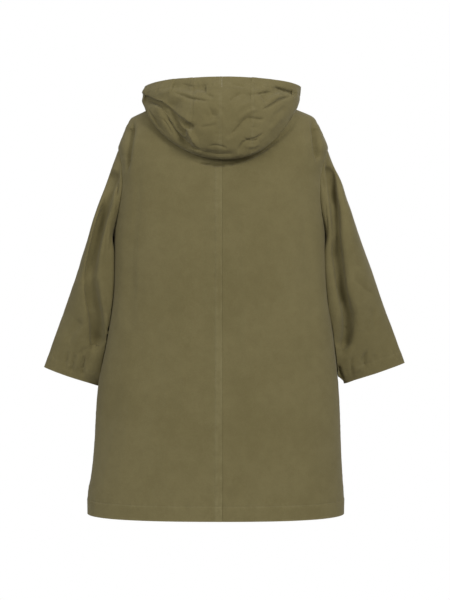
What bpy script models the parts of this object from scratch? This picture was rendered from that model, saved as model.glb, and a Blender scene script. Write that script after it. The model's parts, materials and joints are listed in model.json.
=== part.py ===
"""A hooded parka, filled out as on a wearer, with its hood down at the back.

Units are metres. +Z is up, the front faces -Y and the back faces +Y, so the wearer's left is at +X.
The origin is the middle of the neck, level with the inner ends of the shoulder seams.

The cloth is a wall of even thickness. Each piece that a maker cuts is one object: two backs, two
fronts, two sleeves and a hood of four panels, with buttons down the front. A piece's outer face is
sampled from a smooth surface (body_point, sleeve_point or hood_point) and its inner face is that
face moved in by the cloth's thickness.
"""

import math

import bpy
import numpy as np

# Cloth and seams
WALL = 0.0016
SEAM_GAP = 0.0005
NORMAL_STEP = 1e-3
RING_SEARCH_STEPS = 6

# Body: rings from the neck down to the hem. side_z is the ring's height at the side and names the
# ring; left_x and right_x are its half-widths, back_y and front_y its half-depths, and square is the
# superellipse power, where 2 is an ellipse and more is boxier.
BODY_COLUMNS = ("side_z", "back_z", "front_z", "left_x", "right_x", "back_y", "front_y", "square")
BODY_RINGS = (
    (0.008, -0.015, -0.085, 0.088, 0.088, 0.078, 0.105, 2.00),
    (-0.008, -0.031, -0.096, 0.135, 0.135, 0.085, 0.108, 2.00),
    (-0.027, -0.049, -0.108, 0.186, 0.186, 0.092, 0.112, 2.05),
    (-0.044, -0.065, -0.118, 0.221, 0.223, 0.098, 0.116, 2.15),
    (-0.059, -0.078, -0.126, 0.231, 0.233, 0.103, 0.119, 2.25),
    (-0.090, -0.104, -0.143, 0.244, 0.247, 0.111, 0.125, 2.40),
    (-0.120, -0.130, -0.161, 0.253, 0.257, 0.116, 0.129, 2.55),
    (-0.160, -0.166, -0.188, 0.249, 0.250, 0.121, 0.133, 2.70),
    (-0.200, -0.203, -0.216, 0.249, 0.245, 0.124, 0.135, 2.75),
    (-0.245, -0.246, -0.253, 0.253, 0.245, 0.126, 0.137, 2.75),
    (-0.340, -0.340, -0.342, 0.265, 0.253, 0.127, 0.137, 2.60),
    (-0.490, -0.490, -0.490, 0.269, 0.260, 0.126, 0.135, 2.45),
    (-0.588, -0.588, -0.588, 0.282, 0.274, 0.126, 0.133, 2.45),
    (-0.700, -0.700, -0.700, 0.303, 0.285, 0.128, 0.133, 2.45),
    (-0.858, -0.858, -0.858, 0.314, 0.291, 0.131, 0.135, 2.50),
    (-0.920, -0.920, -0.920, 0.321, 0.294, 0.133, 0.136, 2.50),
    (-0.960, -0.960, -0.960, 0.328, 0.297, 0.134, 0.137, 2.50),
    (-1.009, -1.009, -1.009, 0.329, 0.298, 0.136, 0.138, 2.50),
)
NECK_LEVEL = BODY_RINGS[0][0]
HEM_LEVEL = BODY_RINGS[-1][0]

# Armhole: an oval on the body's side, from the end of the shoulder seam to the underarm.
ARMHOLE_TOP = -0.120
ARMHOLE_BOTTOM = -0.340
ARMHOLE_BACK_Y = 0.057
ARMHOLE_FRONT_Y = 0.062

# Front closing: the left front laps over the right one.
LAP = 0.022
UNDERLAP_INSET = WALL + 0.0009
UNDERLAP_BLEND = 0.030
BUTTON_LEVELS = (-0.110, -0.250, -0.390, -0.530, -0.670)
BUTTON_RADIUS = 0.0100
BUTTON_THICKNESS = 0.0036
BUTTON_RIM = 0.0022
BUTTON_DISH = 0.0010
BUTTON_CLEARANCE = 0.0006

# Sleeves: (x, z) of the cuff's outer and inner corners, seen from behind.
CUFF_CORNERS = {
    "left": {"outer": (0.439, -0.656), "inner": (0.3030, -0.7025)},
    "right": {"outer": (0.452, -0.645), "inner": (0.2985, -0.696)},
}
SLEEVE_COLUMNS = ("along", "back_y", "front_y", "middle_y", "out")
SLEEVE_RINGS = (
    (0.00, 0.0595, 0.0595, -0.0025, 0.000),
    (0.10, 0.0680, 0.0680, -0.0040, 0.016),
    (0.25, 0.0730, 0.0720, -0.0080, 0.026),
    (0.50, 0.0700, 0.0700, -0.0160, 0.018),
    (0.75, 0.0520, 0.0540, -0.0260, 0.008),
    (1.00, 0.0270, 0.0280, -0.0320, 0.000),
)
ARMHOLE_FADE = 0.30
# Below the underarm a sleeve lies against the body: its inner side would reach in by SLEEVE_TUCK,
# and is held off the body by UNDERARM_CLEARANCE until it leaves it towards the cuff.
UNDERARM_CLEARANCE = 0.0026
UNDERARM_FADE = 0.08
SLEEVE_TUCK = 0.011
SLEEVE_TUCK_FADE = 0.30
SLEEVE_LEAVES_BODY = {"left": 0.88, "right": 0.84}

# Hood: closed loops in the order that the cloth runs, from the neck seam up and over, down the
# outside of the back to the fold at the bottom of the bag, and up its outside to the rim.
HOOD_COLUMNS = (
    "left_x", "right_x", "side_y", "back_y", "front_y", "back_z", "side_z", "front_z",
    "back_bow", "front_bow", "point",
)
HOOD_LOOPS = (
    (0.0880, 0.0880, 0.000, 0.0780, -0.1050, -0.0142, 0.0088, -0.0842, 2.0, 2.0, 1.00),
    (0.0930, 0.0930, 0.001, 0.0850, -0.1090, 0.0050, 0.0220, -0.0690, 1.9, 1.9, 1.10),
    (0.1120, 0.1110, 0.002, 0.0990, -0.1110, 0.0060, 0.0210, -0.0620, 1.7, 1.7, 1.25),
    (0.1480, 0.1450, 0.003, 0.1080, -0.1130, -0.0550, 0.0060, -0.0580, 1.6, 1.5, 1.35),
    (0.1800, 0.1690, 0.004, 0.1190, -0.1150, -0.1290, -0.0100, -0.0550, 1.5, 1.5, 1.40),
    (0.1900, 0.1790, 0.006, 0.1240, -0.1170, -0.1630, -0.0160, -0.0520, 1.4, 1.5, 1.40),
    (0.1930, 0.1820, 0.010, 0.1340, -0.1190, -0.1715, -0.0150, -0.0490, 1.4, 1.5, 1.40),
    (0.1950, 0.1850, 0.014, 0.1530, -0.1210, -0.1580, -0.0100, -0.0460, 1.4, 1.5, 1.40),
    (0.1950, 0.1880, 0.018, 0.1700, -0.1230, -0.1050, 0.0000, -0.0420, 1.3, 1.5, 1.40),
    (0.1920, 0.1895, 0.022, 0.1650, -0.1250, -0.0300, 0.0130, -0.0370, 1.4, 1.5, 1.40),
    (0.1880, 0.1905, 0.024, 0.1380, -0.1270, 0.0320, 0.0255, -0.0320, 1.4, 1.5, 1.40),
)
HOOD_FOLD_LOOP = 6
HOOD_CLEARANCE = 0.0040
HOOD_SEAM_NECK = 0.036
HOOD_SEAM_TOP = 0.068
HOOD_SEAM_WIDENS_BY = 0.45

# Folds: soft troughs seen from behind, each along a line of (x, z) points. The piece says which
# cloth it dents, width is the trough's half-width and depth how far it goes in at its deepest.
FOLDS = (
    {"piece": "sleeve", "width": 0.0135, "depth": 0.0200,
     "line": ((0.262, -0.175), (0.296, -0.322), (0.318, -0.435), (0.302, -0.520), (0.308, -0.600))},
    {"piece": "sleeve", "width": 0.0135, "depth": 0.0200,
     "line": ((-0.262, -0.165), (-0.274, -0.255), (-0.286, -0.400), (-0.308, -0.530), (-0.300, -0.610))},
    {"piece": "hood", "width": 0.0150, "depth": 0.0170,
     "line": ((0.188, -0.004), (0.134, -0.024), (0.116, -0.042), (0.094, -0.082), (0.074, -0.104))},
    {"piece": "hood", "width": 0.0120, "depth": 0.0080,
     "line": ((0.118, 0.012), (0.092, 0.006), (0.068, 0.000), (0.036, 0.000))},
    {"piece": "hood", "width": 0.0120, "depth": 0.0080,
     "line": ((-0.168, 0.004), (-0.130, 0.002), (-0.092, -0.022))},
    {"piece": "body", "width": 0.0110, "depth": 0.0060,
     "line": ((0.224, -0.075), (0.226, -0.110), (0.228, -0.150))},
    {"piece": "body", "width": 0.0110, "depth": 0.0060,
     "line": ((-0.224, -0.075), (-0.227, -0.110), (-0.228, -0.150))},
)
FOLD_TAPER = 0.06
SLEEVE_FRONT_SHARE = 0.45

# How finely each surface is sampled
BODY_COLUMNS_PER_PANEL = 9
SHOULDER_ROWS = 5
ARMHOLE_ROWS = 14
SKIRT_ROWS = 8
SLEEVE_AROUND = 2 * ARMHOLE_ROWS
SLEEVE_ROWS = 16
HOOD_UNDER_ROWS = 9
HOOD_OUTER_ROWS = 15
HOOD_CENTRE_COLUMNS = 3
HOOD_SIDE_COLUMNS = 13
HOOD_SIDE_CROWDING = 1.35
BUTTON_SEGMENTS = 16

OLIVE = (0.165, 0.138, 0.062, 1.0)
BUTTON_BROWN = (0.055, 0.042, 0.026, 1.0)
SIDES = {"left": 1.0, "right": -1.0}


def smooth_step(x):
    """Rises from 0 at x = 0 to 1 at x = 1 with no corner at either end."""
    x = np.clip(x, 0.0, 1.0)
    return x * x * (3.0 - 2.0 * x)


def smooth_through(at, knots, values):
    """A smooth curve through (knots, values) that never overshoots between two of them."""
    knots, values, at = (np.asarray(a, float) for a in (knots, values, at))
    if knots[0] > knots[-1]:
        knots, values = knots[::-1], values[::-1]
    step = np.diff(knots)
    slope = np.diff(values) / step
    tangent = np.concatenate([slope[:1], (slope[:-1] + slope[1:]) / 2, slope[-1:]])
    flat = slope[:-1] * slope[1:] <= 0
    limit = 3 * np.minimum(abs(slope[:-1]), abs(slope[1:]))
    inner = np.sign(tangent[1:-1]) * np.minimum(abs(tangent[1:-1]), limit)
    tangent[1:-1] = np.where(flat, 0.0, inner)
    i = np.clip(np.searchsorted(knots, at) - 1, 0, len(step) - 1)
    u = (at - knots[i]) / step[i]
    rise = u * u * (3 - 2 * u)
    start = u * (1 - u) ** 2 * step[i] * tangent[i]
    end = u * u * (u - 1) * step[i] * tangent[i + 1]
    return values[i] * (1 - rise) + values[i + 1] * rise + start + end


def column(rows, columns, name):
    return [row[columns.index(name)] for row in rows]


def body_size(level, name):
    return smooth_through(level, column(BODY_RINGS, BODY_COLUMNS, "side_z"),
                          column(BODY_RINGS, BODY_COLUMNS, name))


def along_line(x, z, line):
    """(distance from the line, how far along it from 0 to 1) for points seen from behind."""
    line = np.asarray(line, float)
    lengths = np.linalg.norm(np.diff(line, axis=0), axis=1)
    starts = np.concatenate([[0.0], np.cumsum(lengths)])
    nearest = np.full(np.shape(x), np.inf)
    place = np.zeros(np.shape(x))
    for (ax, az), (bx, bz), length, start in zip(line[:-1], line[1:], lengths, starts):
        dx, dz = (bx - ax) / length, (bz - az) / length
        t = np.clip((x - ax) * dx + (z - az) * dz, 0.0, length)
        away = np.hypot(x - ax - t * dx, z - az - t * dz)
        closer = away < nearest
        nearest = np.where(closer, away, nearest)
        place = np.where(closer, (start + t) / starts[-1], place)
    return nearest, place


def fold_depth(piece, x, z):
    """How far the folds of a piece push its cloth in at points (x, z)."""
    total = np.zeros(np.shape(x))
    for fold in FOLDS:
        if fold["piece"] == piece:
            away, place = along_line(x, z, fold["line"])
            ends = smooth_step(place / FOLD_TAPER + 0.25) * smooth_step((1 - place) / FOLD_TAPER + 0.25)
            total = total + fold["depth"] * np.exp(-((away / fold["width"]) ** 2)) * ends
    return total


def body_point(side, angle, level):
    """The body's outer face. angle is a right angle at the centre back, 0 at the side and minus a
    right angle at the centre front, and goes on past that where the front laps over."""
    power = 2.0 / body_size(level, "square")
    half = body_size(level, "left_x" if side > 0 else "right_x")
    c, s = np.cos(angle), np.sin(angle)
    x = side * half * np.sign(c) * np.abs(c) ** power
    depth = np.where(s > 0, body_size(level, "back_y"), body_size(level, "front_y"))
    y = np.sign(s) * depth * np.abs(s) ** power
    end_z = np.where(s > 0, body_size(level, "back_z"), body_size(level, "front_z"))
    z = level + (end_z - level) * s * s
    y = y - np.where(s > 0, fold_depth("body", x, z) * smooth_step(s * 3.0), 0.0)
    return np.stack([x, y, z], axis=-1)


def larger(a, b, blend):
    """The larger of a and b, rounded over where they come within blend of each other."""
    return (a + b + np.sqrt((a - b) ** 2 + blend ** 2)) / 2


def body_across(side, y, z):
    """How far the body reaches sideways at depth y, below the shoulders."""
    depth = np.where(y > 0, body_size(z, "back_y"), body_size(z, "front_y"))
    square = body_size(z, "square")
    inside = np.clip(1 - np.abs(y / depth) ** square, 0.0, 1.0)
    return body_size(z, "left_x" if side > 0 else "right_x") * inside ** (1 / square)


def body_behind(side, x, z):
    """How far back the body reaches at (x, z) seen from behind, or 0 beside and above it. The
    ring that passes there is found by a few steps from the one at height z."""
    level = z
    for _ in range(RING_SEARCH_STEPS):
        ring = np.clip(level, HEM_LEVEL, NECK_LEVEL)
        square = body_size(ring, "square")
        across = np.abs(x / body_size(ring, "left_x" if side > 0 else "right_x")) ** square
        rise = np.clip(1 - across, 0.0, 1.0)
        level = z - (body_size(ring, "back_z") - ring) * rise
    return np.where(level < NECK_LEVEL, body_size(ring, "back_y") * rise ** (1 / square), 0.0)


def armhole_at(turn):
    """(angle, level) of the armhole's edge. turn is 0 at its top, where the shoulder seam ends, a
    half turn at the underarm, and between them it runs down the back."""
    middle, half = (ARMHOLE_TOP + ARMHOLE_BOTTOM) / 2, (ARMHOLE_TOP - ARMHOLE_BOTTOM) / 2
    level = middle + half * np.cos(turn)
    s = np.sin(turn)
    depth = np.where(s > 0, ARMHOLE_BACK_Y, ARMHOLE_FRONT_Y) * np.abs(s)
    ring = np.where(s > 0, body_size(level, "back_y"), body_size(level, "front_y"))
    angle = np.arcsin((depth / ring) ** (body_size(level, "square") / 2))
    return np.sign(s) * angle, level


def armhole_point(side, turn):
    return body_point(side, *armhole_at(turn))


def sleeve_point(side, turn, along):
    """The sleeve's outer face. turn runs as in armhole_at, and along is 0 at the armhole and 1 at
    the cuff."""
    name = "left" if side > 0 else "right"
    size = {key: smooth_through(along, column(SLEEVE_RINGS, SLEEVE_COLUMNS, "along"),
                                column(SLEEVE_RINGS, SLEEVE_COLUMNS, key))
            for key in SLEEVE_COLUMNS[1:]}
    top = body_point(side, np.zeros(1), np.array([ARMHOLE_TOP]))[0]
    under = body_point(side, np.zeros(1), np.array([ARMHOLE_BOTTOM]))[0]
    (outer_x, outer_z), (inner_x, inner_z) = CUFF_CORNERS[name]["outer"], CUFF_CORNERS[name]["inner"]
    over_x = abs(top[0]) + (outer_x - abs(top[0])) * along
    over_z = top[2] + (outer_z - top[2]) * along
    under_z = under[2] + (inner_z - under[2]) * along
    clearance = UNDERARM_CLEARANCE * smooth_step(along / UNDERARM_FADE)
    tuck = SLEEVE_TUCK * smooth_step(along / SLEEVE_TUCK_FADE)
    at_end = inner_x - body_size(np.array(inner_z), "left_x" if side > 0 else "right_x")
    leaves = SLEEVE_LEAVES_BODY[name]
    off = smooth_step((along - leaves) / (1 - leaves))
    under_x = (body_size(under_z, "left_x" if side > 0 else "right_x")
               + (clearance - tuck) * (1 - off) + at_end * off)

    def ring(over_x, over_z, under_x, under_z, back_y, front_y, middle_y, out):
        c, s = np.cos(turn), np.sin(turn)
        x = (over_x + under_x) / 2 + (over_x - under_x) / 2 * c + out * s * s
        z = (over_z + under_z) / 2 + (over_z - under_z) / 2 * c
        y = middle_y + np.where(s > 0, back_y, front_y) * s
        return np.stack([side * x, y, z], axis=-1)

    here = ring(over_x, over_z, under_x, under_z, **size)
    first = {key: SLEEVE_RINGS[0][SLEEVE_COLUMNS.index(key)] for key in SLEEVE_COLUMNS[1:]}
    plain = ring(abs(top[0]), top[2], abs(under[0]), under[2], **first)
    to_armhole = armhole_point(side, turn) - plain
    point = here + to_armhole * (1 - smooth_step(along / ARMHOLE_FADE))[..., None]
    facing = smooth_step(np.abs(np.sin(turn)) / 0.7) * smooth_step(along / 0.08)
    inward = np.where(np.sin(turn) > 0, -1.0, SLEEVE_FRONT_SHARE) * facing
    y = point[..., 1] + inward * fold_depth("sleeve", point[..., 0], point[..., 2])
    beside_body = body_across(side, y, point[..., 2]) + clearance - SEAM_GAP
    x = side * larger(side * point[..., 0], beside_body, 0.004 * smooth_step(along / UNDERARM_FADE))
    return np.stack([x, y, point[..., 2]], axis=-1)


def hood_loop(side, turn, loop):
    """A point on one of the hood's loops. turn is 0 at the centre back and a half turn at the
    centre front."""
    size = dict(zip(HOOD_COLUMNS, loop))
    s, c = np.abs(np.sin(turn)), np.cos(turn)
    at_front = c < 0
    half = size["left_x"] if side > 0 else size["right_x"]
    x = side * half * s ** np.where(at_front, size["point"], 1.0)
    end_y = np.where(at_front, size["front_y"], size["back_y"])
    y = size["side_y"] + (end_y - size["side_y"]) * np.abs(c)
    end_z = np.where(at_front, size["front_z"], size["back_z"])
    bow = np.abs(c) ** np.where(at_front, size["front_bow"], size["back_bow"])
    z = size["side_z"] + (end_z - size["side_z"]) * bow
    return np.stack([x, y, z], axis=-1)


def hood_point(side, turn, along):
    """The hood's outer face, from the neck seam at along = 0 to the rim at along = 1."""
    loops = np.stack([hood_loop(side, turn, loop) for loop in HOOD_LOOPS])
    last = len(HOOD_LOOPS) - 1
    place = np.clip(along, -0.01, 1.01) * last
    i = np.clip(np.floor(place).astype(int), 0, last - 1)
    u = (place - i)[..., None]
    columns = np.indices(np.shape(turn))
    before = loops[(np.maximum(i - 1, 0), *columns)]
    here = loops[(i, *columns)]
    after = loops[(i + 1, *columns)]
    beyond = loops[(np.minimum(i + 2, last), *columns)]
    point = here + 0.5 * u * (after - before + u * (2 * before - 5 * here + 4 * after - beyond
                                                    + u * (3 * (here - after) + beyond - before)))
    outside = smooth_step((along * last - HOOD_FOLD_LOOP - 0.5) / 1.5) * smooth_step(np.cos(turn) * 4 + 0.6)
    y = point[..., 1] - outside * fold_depth("hood", point[..., 0], point[..., 2])
    on_back = smooth_step(along / 0.12) * smooth_step(np.cos(turn) * 4)
    behind = body_behind(side, point[..., 0], point[..., 2]) + HOOD_CLEARANCE
    y = y + (larger(y, behind, 0.004) - y) * on_back
    return np.stack([point[..., 0], y, point[..., 2]], axis=-1)


def hood_seam_turn(along):
    """The turn at which the seam between the hood's centre and side panels lies."""
    x = HOOD_SEAM_NECK + (HOOD_SEAM_TOP - HOOD_SEAM_NECK) * smooth_step(along / HOOD_SEAM_WIDENS_BY)
    knots = np.linspace(0.0, 1.0, len(HOOD_LOOPS))
    half = smooth_through(along, knots, column(HOOD_LOOPS, HOOD_COLUMNS, "left_x"))
    return np.arcsin(x / half)


def faces_of_grid(rows, columns, closed):
    """Quads of a grid of points, as index tuples. A closed grid joins its last column to its first."""
    last = columns if closed else columns - 1
    return [(r * columns + c, r * columns + (c + 1) % columns,
             (r + 1) * columns + (c + 1) % columns, (r + 1) * columns + c)
            for r in range(rows - 1) for c in range(last)]


def split_quad(points, quad):
    """A quad's two triangles, split along its shorter diagonal."""
    a, b, c, d = quad
    if np.linalg.norm(points[a] - points[c]) <= np.linalg.norm(points[b] - points[d]):
        return [(a, b, c), (a, c, d)]
    return [(a, b, d), (b, c, d)]


def wall_between(outer, inner, closed):
    """(points, faces) of the solid between two grids of points of the same shape. Both faces are
    split into the same triangles, so that the wall keeps its thickness where it is creased."""
    rows, columns, _ = outer.shape
    count = rows * columns
    points = np.concatenate([outer.reshape(-1, 3), inner.reshape(-1, 3)])
    skin = [part for quad in faces_of_grid(rows, columns, closed) for part in split_quad(points, quad)]
    faces = skin + [tuple(i + count for i in reversed(face)) for face in skin]
    across = range(columns if closed else columns - 1)
    top, bottom = 0, (rows - 1) * columns
    for c in across:
        d = (c + 1) % columns
        faces.append((top + d, top + c, top + c + count, top + d + count))
        faces.append((bottom + c, bottom + d, bottom + d + count, bottom + c + count))
    if not closed:
        right = columns - 1
        for r in range(rows - 1):
            a, b = r * columns, (r + 1) * columns
            faces.append((a, b, b + count, a + count))
            faces.append((b + right, a + right, a + right + count, b + right + count))
    return points, faces


def signed_volume(points, faces):
    total = 0.0
    for face in faces:
        for second, third in zip(face[1:-1], face[2:]):
            total += np.dot(points[face[0]], np.cross(points[second], points[third]))
    return total / 6


def add_object(name, points, faces, material):
    if signed_volume(points, faces) < 0:
        faces = [tuple(reversed(face)) for face in faces]
    mesh = bpy.data.meshes.new(name)
    mesh.from_pydata(points.tolist(), [], faces)
    mesh.shade_smooth()
    mesh.materials.append(material)
    obj = bpy.data.objects.new(name, mesh)
    bpy.context.scene.collection.objects.link(obj)
    return obj


def outward(surface, a, b):
    """Unit normals of surface(a, b), away from the hollow that it encloses."""
    across = surface(a + NORMAL_STEP, b) - surface(a - NORMAL_STEP, b)
    down = surface(a, b + NORMAL_STEP) - surface(a, b - NORMAL_STEP)
    normal = np.cross(across, down)
    return normal / np.linalg.norm(normal, axis=-1, keepdims=True)


def add_cloth(name, surface, a, b, material, flip, closed=False, inset=0.0):
    """A wall whose outer face is surface(a, b) over two grids of parameters. flip is -1 where the
    parameters run so that their cross product points inwards."""
    normal = outward(surface, a, b) * flip
    outer = surface(a, b) - normal * np.asarray(inset)[..., None]
    return add_object(name, *wall_between(outer, outer - normal * WALL, closed), material)


def body_rows():
    """The armhole turn and the level of each row of a body panel, from the neck down. Rows beside
    the armhole end on its edge, the others at the side or shoulder seam."""
    shoulder = np.linspace(0.0, 1.0, SHOULDER_ROWS + 1)[:-1]
    above = [(None, NECK_LEVEL + (ARMHOLE_TOP - NECK_LEVEL) * t ** 1.2) for t in shoulder]
    beside = [(math.pi * k / ARMHOLE_ROWS,
               ARMHOLE_TOP + (ARMHOLE_BOTTOM - ARMHOLE_TOP) * k / ARMHOLE_ROWS)
              for k in range(ARMHOLE_ROWS + 1)]
    below = [(None, ARMHOLE_BOTTOM + (HEM_LEVEL - ARMHOLE_BOTTOM) * k / SKIRT_ROWS)
             for k in range(1, SKIRT_ROWS + 1)]
    return above + beside + below


def body_panel(side, facing):
    """Grids of (angle, level) for a panel. facing is 1 for a back and -1 for a front."""
    angles, levels = [], []
    for turn, level in body_rows():
        end_angle, end_level = 0.0, level
        if turn is not None:
            end_angle, end_level = (float(v) for v in armhole_at(np.array(facing * turn)))
        half = float(body_size(np.array(level), "left_x" if side > 0 else "right_x"))
        power = float(body_size(np.array(level), "square")) / 2
        from_centre = SEAM_GAP / 2 if facing > 0 else -LAP
        past = math.copysign((abs(from_centre) / half) ** power, from_centre)
        start = facing * (math.pi / 2 - math.asin(past))
        end_angle += facing * SEAM_GAP / 2 / float(body_size(np.array(end_level), "back_y"))
        u = np.linspace(0.0, 1.0, BODY_COLUMNS_PER_PANEL + 1)
        angles.append(start + (end_angle - start) * u)
        levels.append(level + (end_level - level) * smooth_step(u))
    return np.array(angles), np.array(levels)


def make_body(material):
    for name, side in SIDES.items():
        def surface(angle, level, side=side):
            return body_point(side, angle, level)

        angle, level = body_panel(side, 1)
        add_cloth(f"back_{name}", surface, angle, level, material, side)
        angle, level = body_panel(side, -1)
        from_centre = side * surface(angle, level)[..., 0]
        under = smooth_step((LAP + UNDERLAP_BLEND + 0.012 - from_centre) / UNDERLAP_BLEND)
        inset = UNDERLAP_INSET * under if name == "right" else 0.0 * under
        add_cloth(f"front_{name}", surface, angle, level, material, side, inset=inset)


def make_sleeves(material):
    turn = np.linspace(0.0, 2 * math.pi, SLEEVE_AROUND, endpoint=False)
    along = np.linspace(0.0, 1.0, SLEEVE_ROWS + 1)
    turn, along = np.meshgrid(turn, along)
    for name, side in SIDES.items():
        def surface(turn, along, side=side):
            into_armhole = np.stack([np.full_like(turn, side), -np.sin(turn), -np.cos(turn)], axis=-1)
            return sleeve_point(side, turn, along) + SEAM_GAP * into_armhole

        add_cloth(f"sleeve_{name}", surface, turn, along, material, -side, closed=True)


def make_hood(material):
    fold = (HOOD_FOLD_LOOP - 0.5) / (len(HOOD_LOOPS) - 1)
    along = np.concatenate([np.linspace(0.0, fold, HOOD_UNDER_ROWS + 1)[:-1],
                            np.linspace(fold, 1.0, HOOD_OUTER_ROWS + 1)])
    seam = hood_seam_turn(along)
    apart = SEAM_GAP / 2 / 0.15
    centre_gap = SEAM_GAP / 2 / 0.088
    point = smooth_through(along, np.linspace(0.0, 1.0, len(HOOD_LOOPS)),
                           column(HOOD_LOOPS, HOOD_COLUMNS, "point"))
    front_end = math.pi - (2 * SEAM_GAP / 0.088) ** (1 / point)
    panels = {
        "centre": (np.full_like(along, centre_gap), seam - apart, HOOD_CENTRE_COLUMNS, 1.0),
        "side": (seam + apart, front_end, HOOD_SIDE_COLUMNS, HOOD_SIDE_CROWDING),
    }
    for name, side in SIDES.items():
        def surface(turn, along, side=side):
            return hood_point(side, turn, along)

        for panel, (start, end, columns, crowding) in panels.items():
            u = np.linspace(0.0, 1.0, columns + 1) ** crowding
            turn = start[:, None] + (end - start)[:, None] * u
            grid = np.repeat(along[:, None], columns + 1, axis=1)
            add_cloth(f"hood_{panel}_{name}", surface, turn, grid, material, -side)


def make_button(name, level, material):
    """A turned button with a raised rim, flat against the front at the centre line."""
    centre = body_point(1, np.array(-math.pi / 2), np.array(level))
    above = body_point(1, np.array(-math.pi / 2), np.array(level + 0.01))
    below = body_point(1, np.array(-math.pi / 2), np.array(level - 0.01))
    up = (above - below) / np.linalg.norm(above - below)
    across = np.array([1.0, 0.0, 0.0])
    out = np.cross(across, up)
    inner = BUTTON_RADIUS - BUTTON_RIM
    profile = (
        (0.0, 0.0), (BUTTON_RADIUS * 0.85, 0.0), (BUTTON_RADIUS, 0.0012),
        (BUTTON_RADIUS, BUTTON_THICKNESS - 0.0010), (BUTTON_RADIUS - 0.0010, BUTTON_THICKNESS),
        (inner + 0.0004, BUTTON_THICKNESS), (inner - 0.0006, BUTTON_THICKNESS - BUTTON_DISH),
        (0.0, BUTTON_THICKNESS - BUTTON_DISH),
    )
    base = centre + out * BUTTON_CLEARANCE
    points, faces = [base], []
    rings = profile[1:-1]
    for radius, height in rings:
        for k in range(BUTTON_SEGMENTS):
            turn = 2 * math.pi * k / BUTTON_SEGMENTS
            points.append(base + out * height + radius * (across * math.cos(turn) + up * math.sin(turn)))
    points.append(base + out * profile[-1][1])
    last = len(points) - 1
    for k in range(BUTTON_SEGMENTS):
        d = (k + 1) % BUTTON_SEGMENTS
        faces.append((0, 1 + k, 1 + d))
        for r in range(len(rings) - 1):
            a, b = 1 + r * BUTTON_SEGMENTS, 1 + (r + 1) * BUTTON_SEGMENTS
            faces.append((a + k, b + k, b + d, a + d))
        top = 1 + (len(rings) - 1) * BUTTON_SEGMENTS
        faces.append((top + k, last, top + d))
    add_object(name, np.array(points), faces, material)


def make_material(name, colour, roughness):
    material = bpy.data.materials.new(name)
    material.use_nodes = True
    shader = material.node_tree.nodes["Principled BSDF"]
    shader.inputs["Base Color"].default_value = colour
    shader.inputs["Roughness"].default_value = roughness
    shader.inputs["Metallic"].default_value = 0.0
    return material


def main():
    for obj in list(bpy.data.objects):
        bpy.data.objects.remove(obj)
    cloth = make_material("olive_cloth", OLIVE, 0.85)
    plastic = make_material("button_plastic", BUTTON_BROWN, 0.4)
    make_body(cloth)
    make_sleeves(cloth)
    make_hood(cloth)
    for number, level in enumerate(BUTTON_LEVELS, start=1):
        make_button(f"button_{number}", level, plastic)


main()
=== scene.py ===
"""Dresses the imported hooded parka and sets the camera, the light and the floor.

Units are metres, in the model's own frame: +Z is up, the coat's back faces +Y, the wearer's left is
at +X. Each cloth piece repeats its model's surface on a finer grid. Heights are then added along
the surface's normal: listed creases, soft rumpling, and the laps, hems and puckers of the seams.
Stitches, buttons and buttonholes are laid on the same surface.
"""

import functools
import itertools
import json
import math

import bmesh
import bpy
import numpy as np
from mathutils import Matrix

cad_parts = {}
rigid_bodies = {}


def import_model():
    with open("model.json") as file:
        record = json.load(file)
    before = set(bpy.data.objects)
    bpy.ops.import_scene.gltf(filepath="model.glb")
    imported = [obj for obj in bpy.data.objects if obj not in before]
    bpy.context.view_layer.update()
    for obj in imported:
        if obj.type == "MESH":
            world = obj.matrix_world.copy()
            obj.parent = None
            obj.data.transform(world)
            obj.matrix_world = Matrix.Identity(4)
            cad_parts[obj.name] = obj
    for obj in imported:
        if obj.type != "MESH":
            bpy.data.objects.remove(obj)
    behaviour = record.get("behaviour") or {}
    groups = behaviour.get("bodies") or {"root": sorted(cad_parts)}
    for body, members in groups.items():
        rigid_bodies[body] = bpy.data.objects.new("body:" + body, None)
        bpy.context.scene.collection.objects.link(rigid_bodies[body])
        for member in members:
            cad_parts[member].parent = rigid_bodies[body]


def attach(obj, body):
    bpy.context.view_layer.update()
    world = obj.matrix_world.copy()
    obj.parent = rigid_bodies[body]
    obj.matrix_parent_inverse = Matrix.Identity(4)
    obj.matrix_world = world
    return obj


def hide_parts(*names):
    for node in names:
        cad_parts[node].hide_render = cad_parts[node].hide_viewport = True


# --- The model's sizes and surfaces, as its own script has them -------------------------------

# Cloth and seams
WALL = 0.0016
SEAM_GAP = 0.0005
NORMAL_STEP = 1e-3
RING_SEARCH_STEPS = 6
# How close two surfaces come before the corner between them is rounded over
BLEND = 0.004

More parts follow.
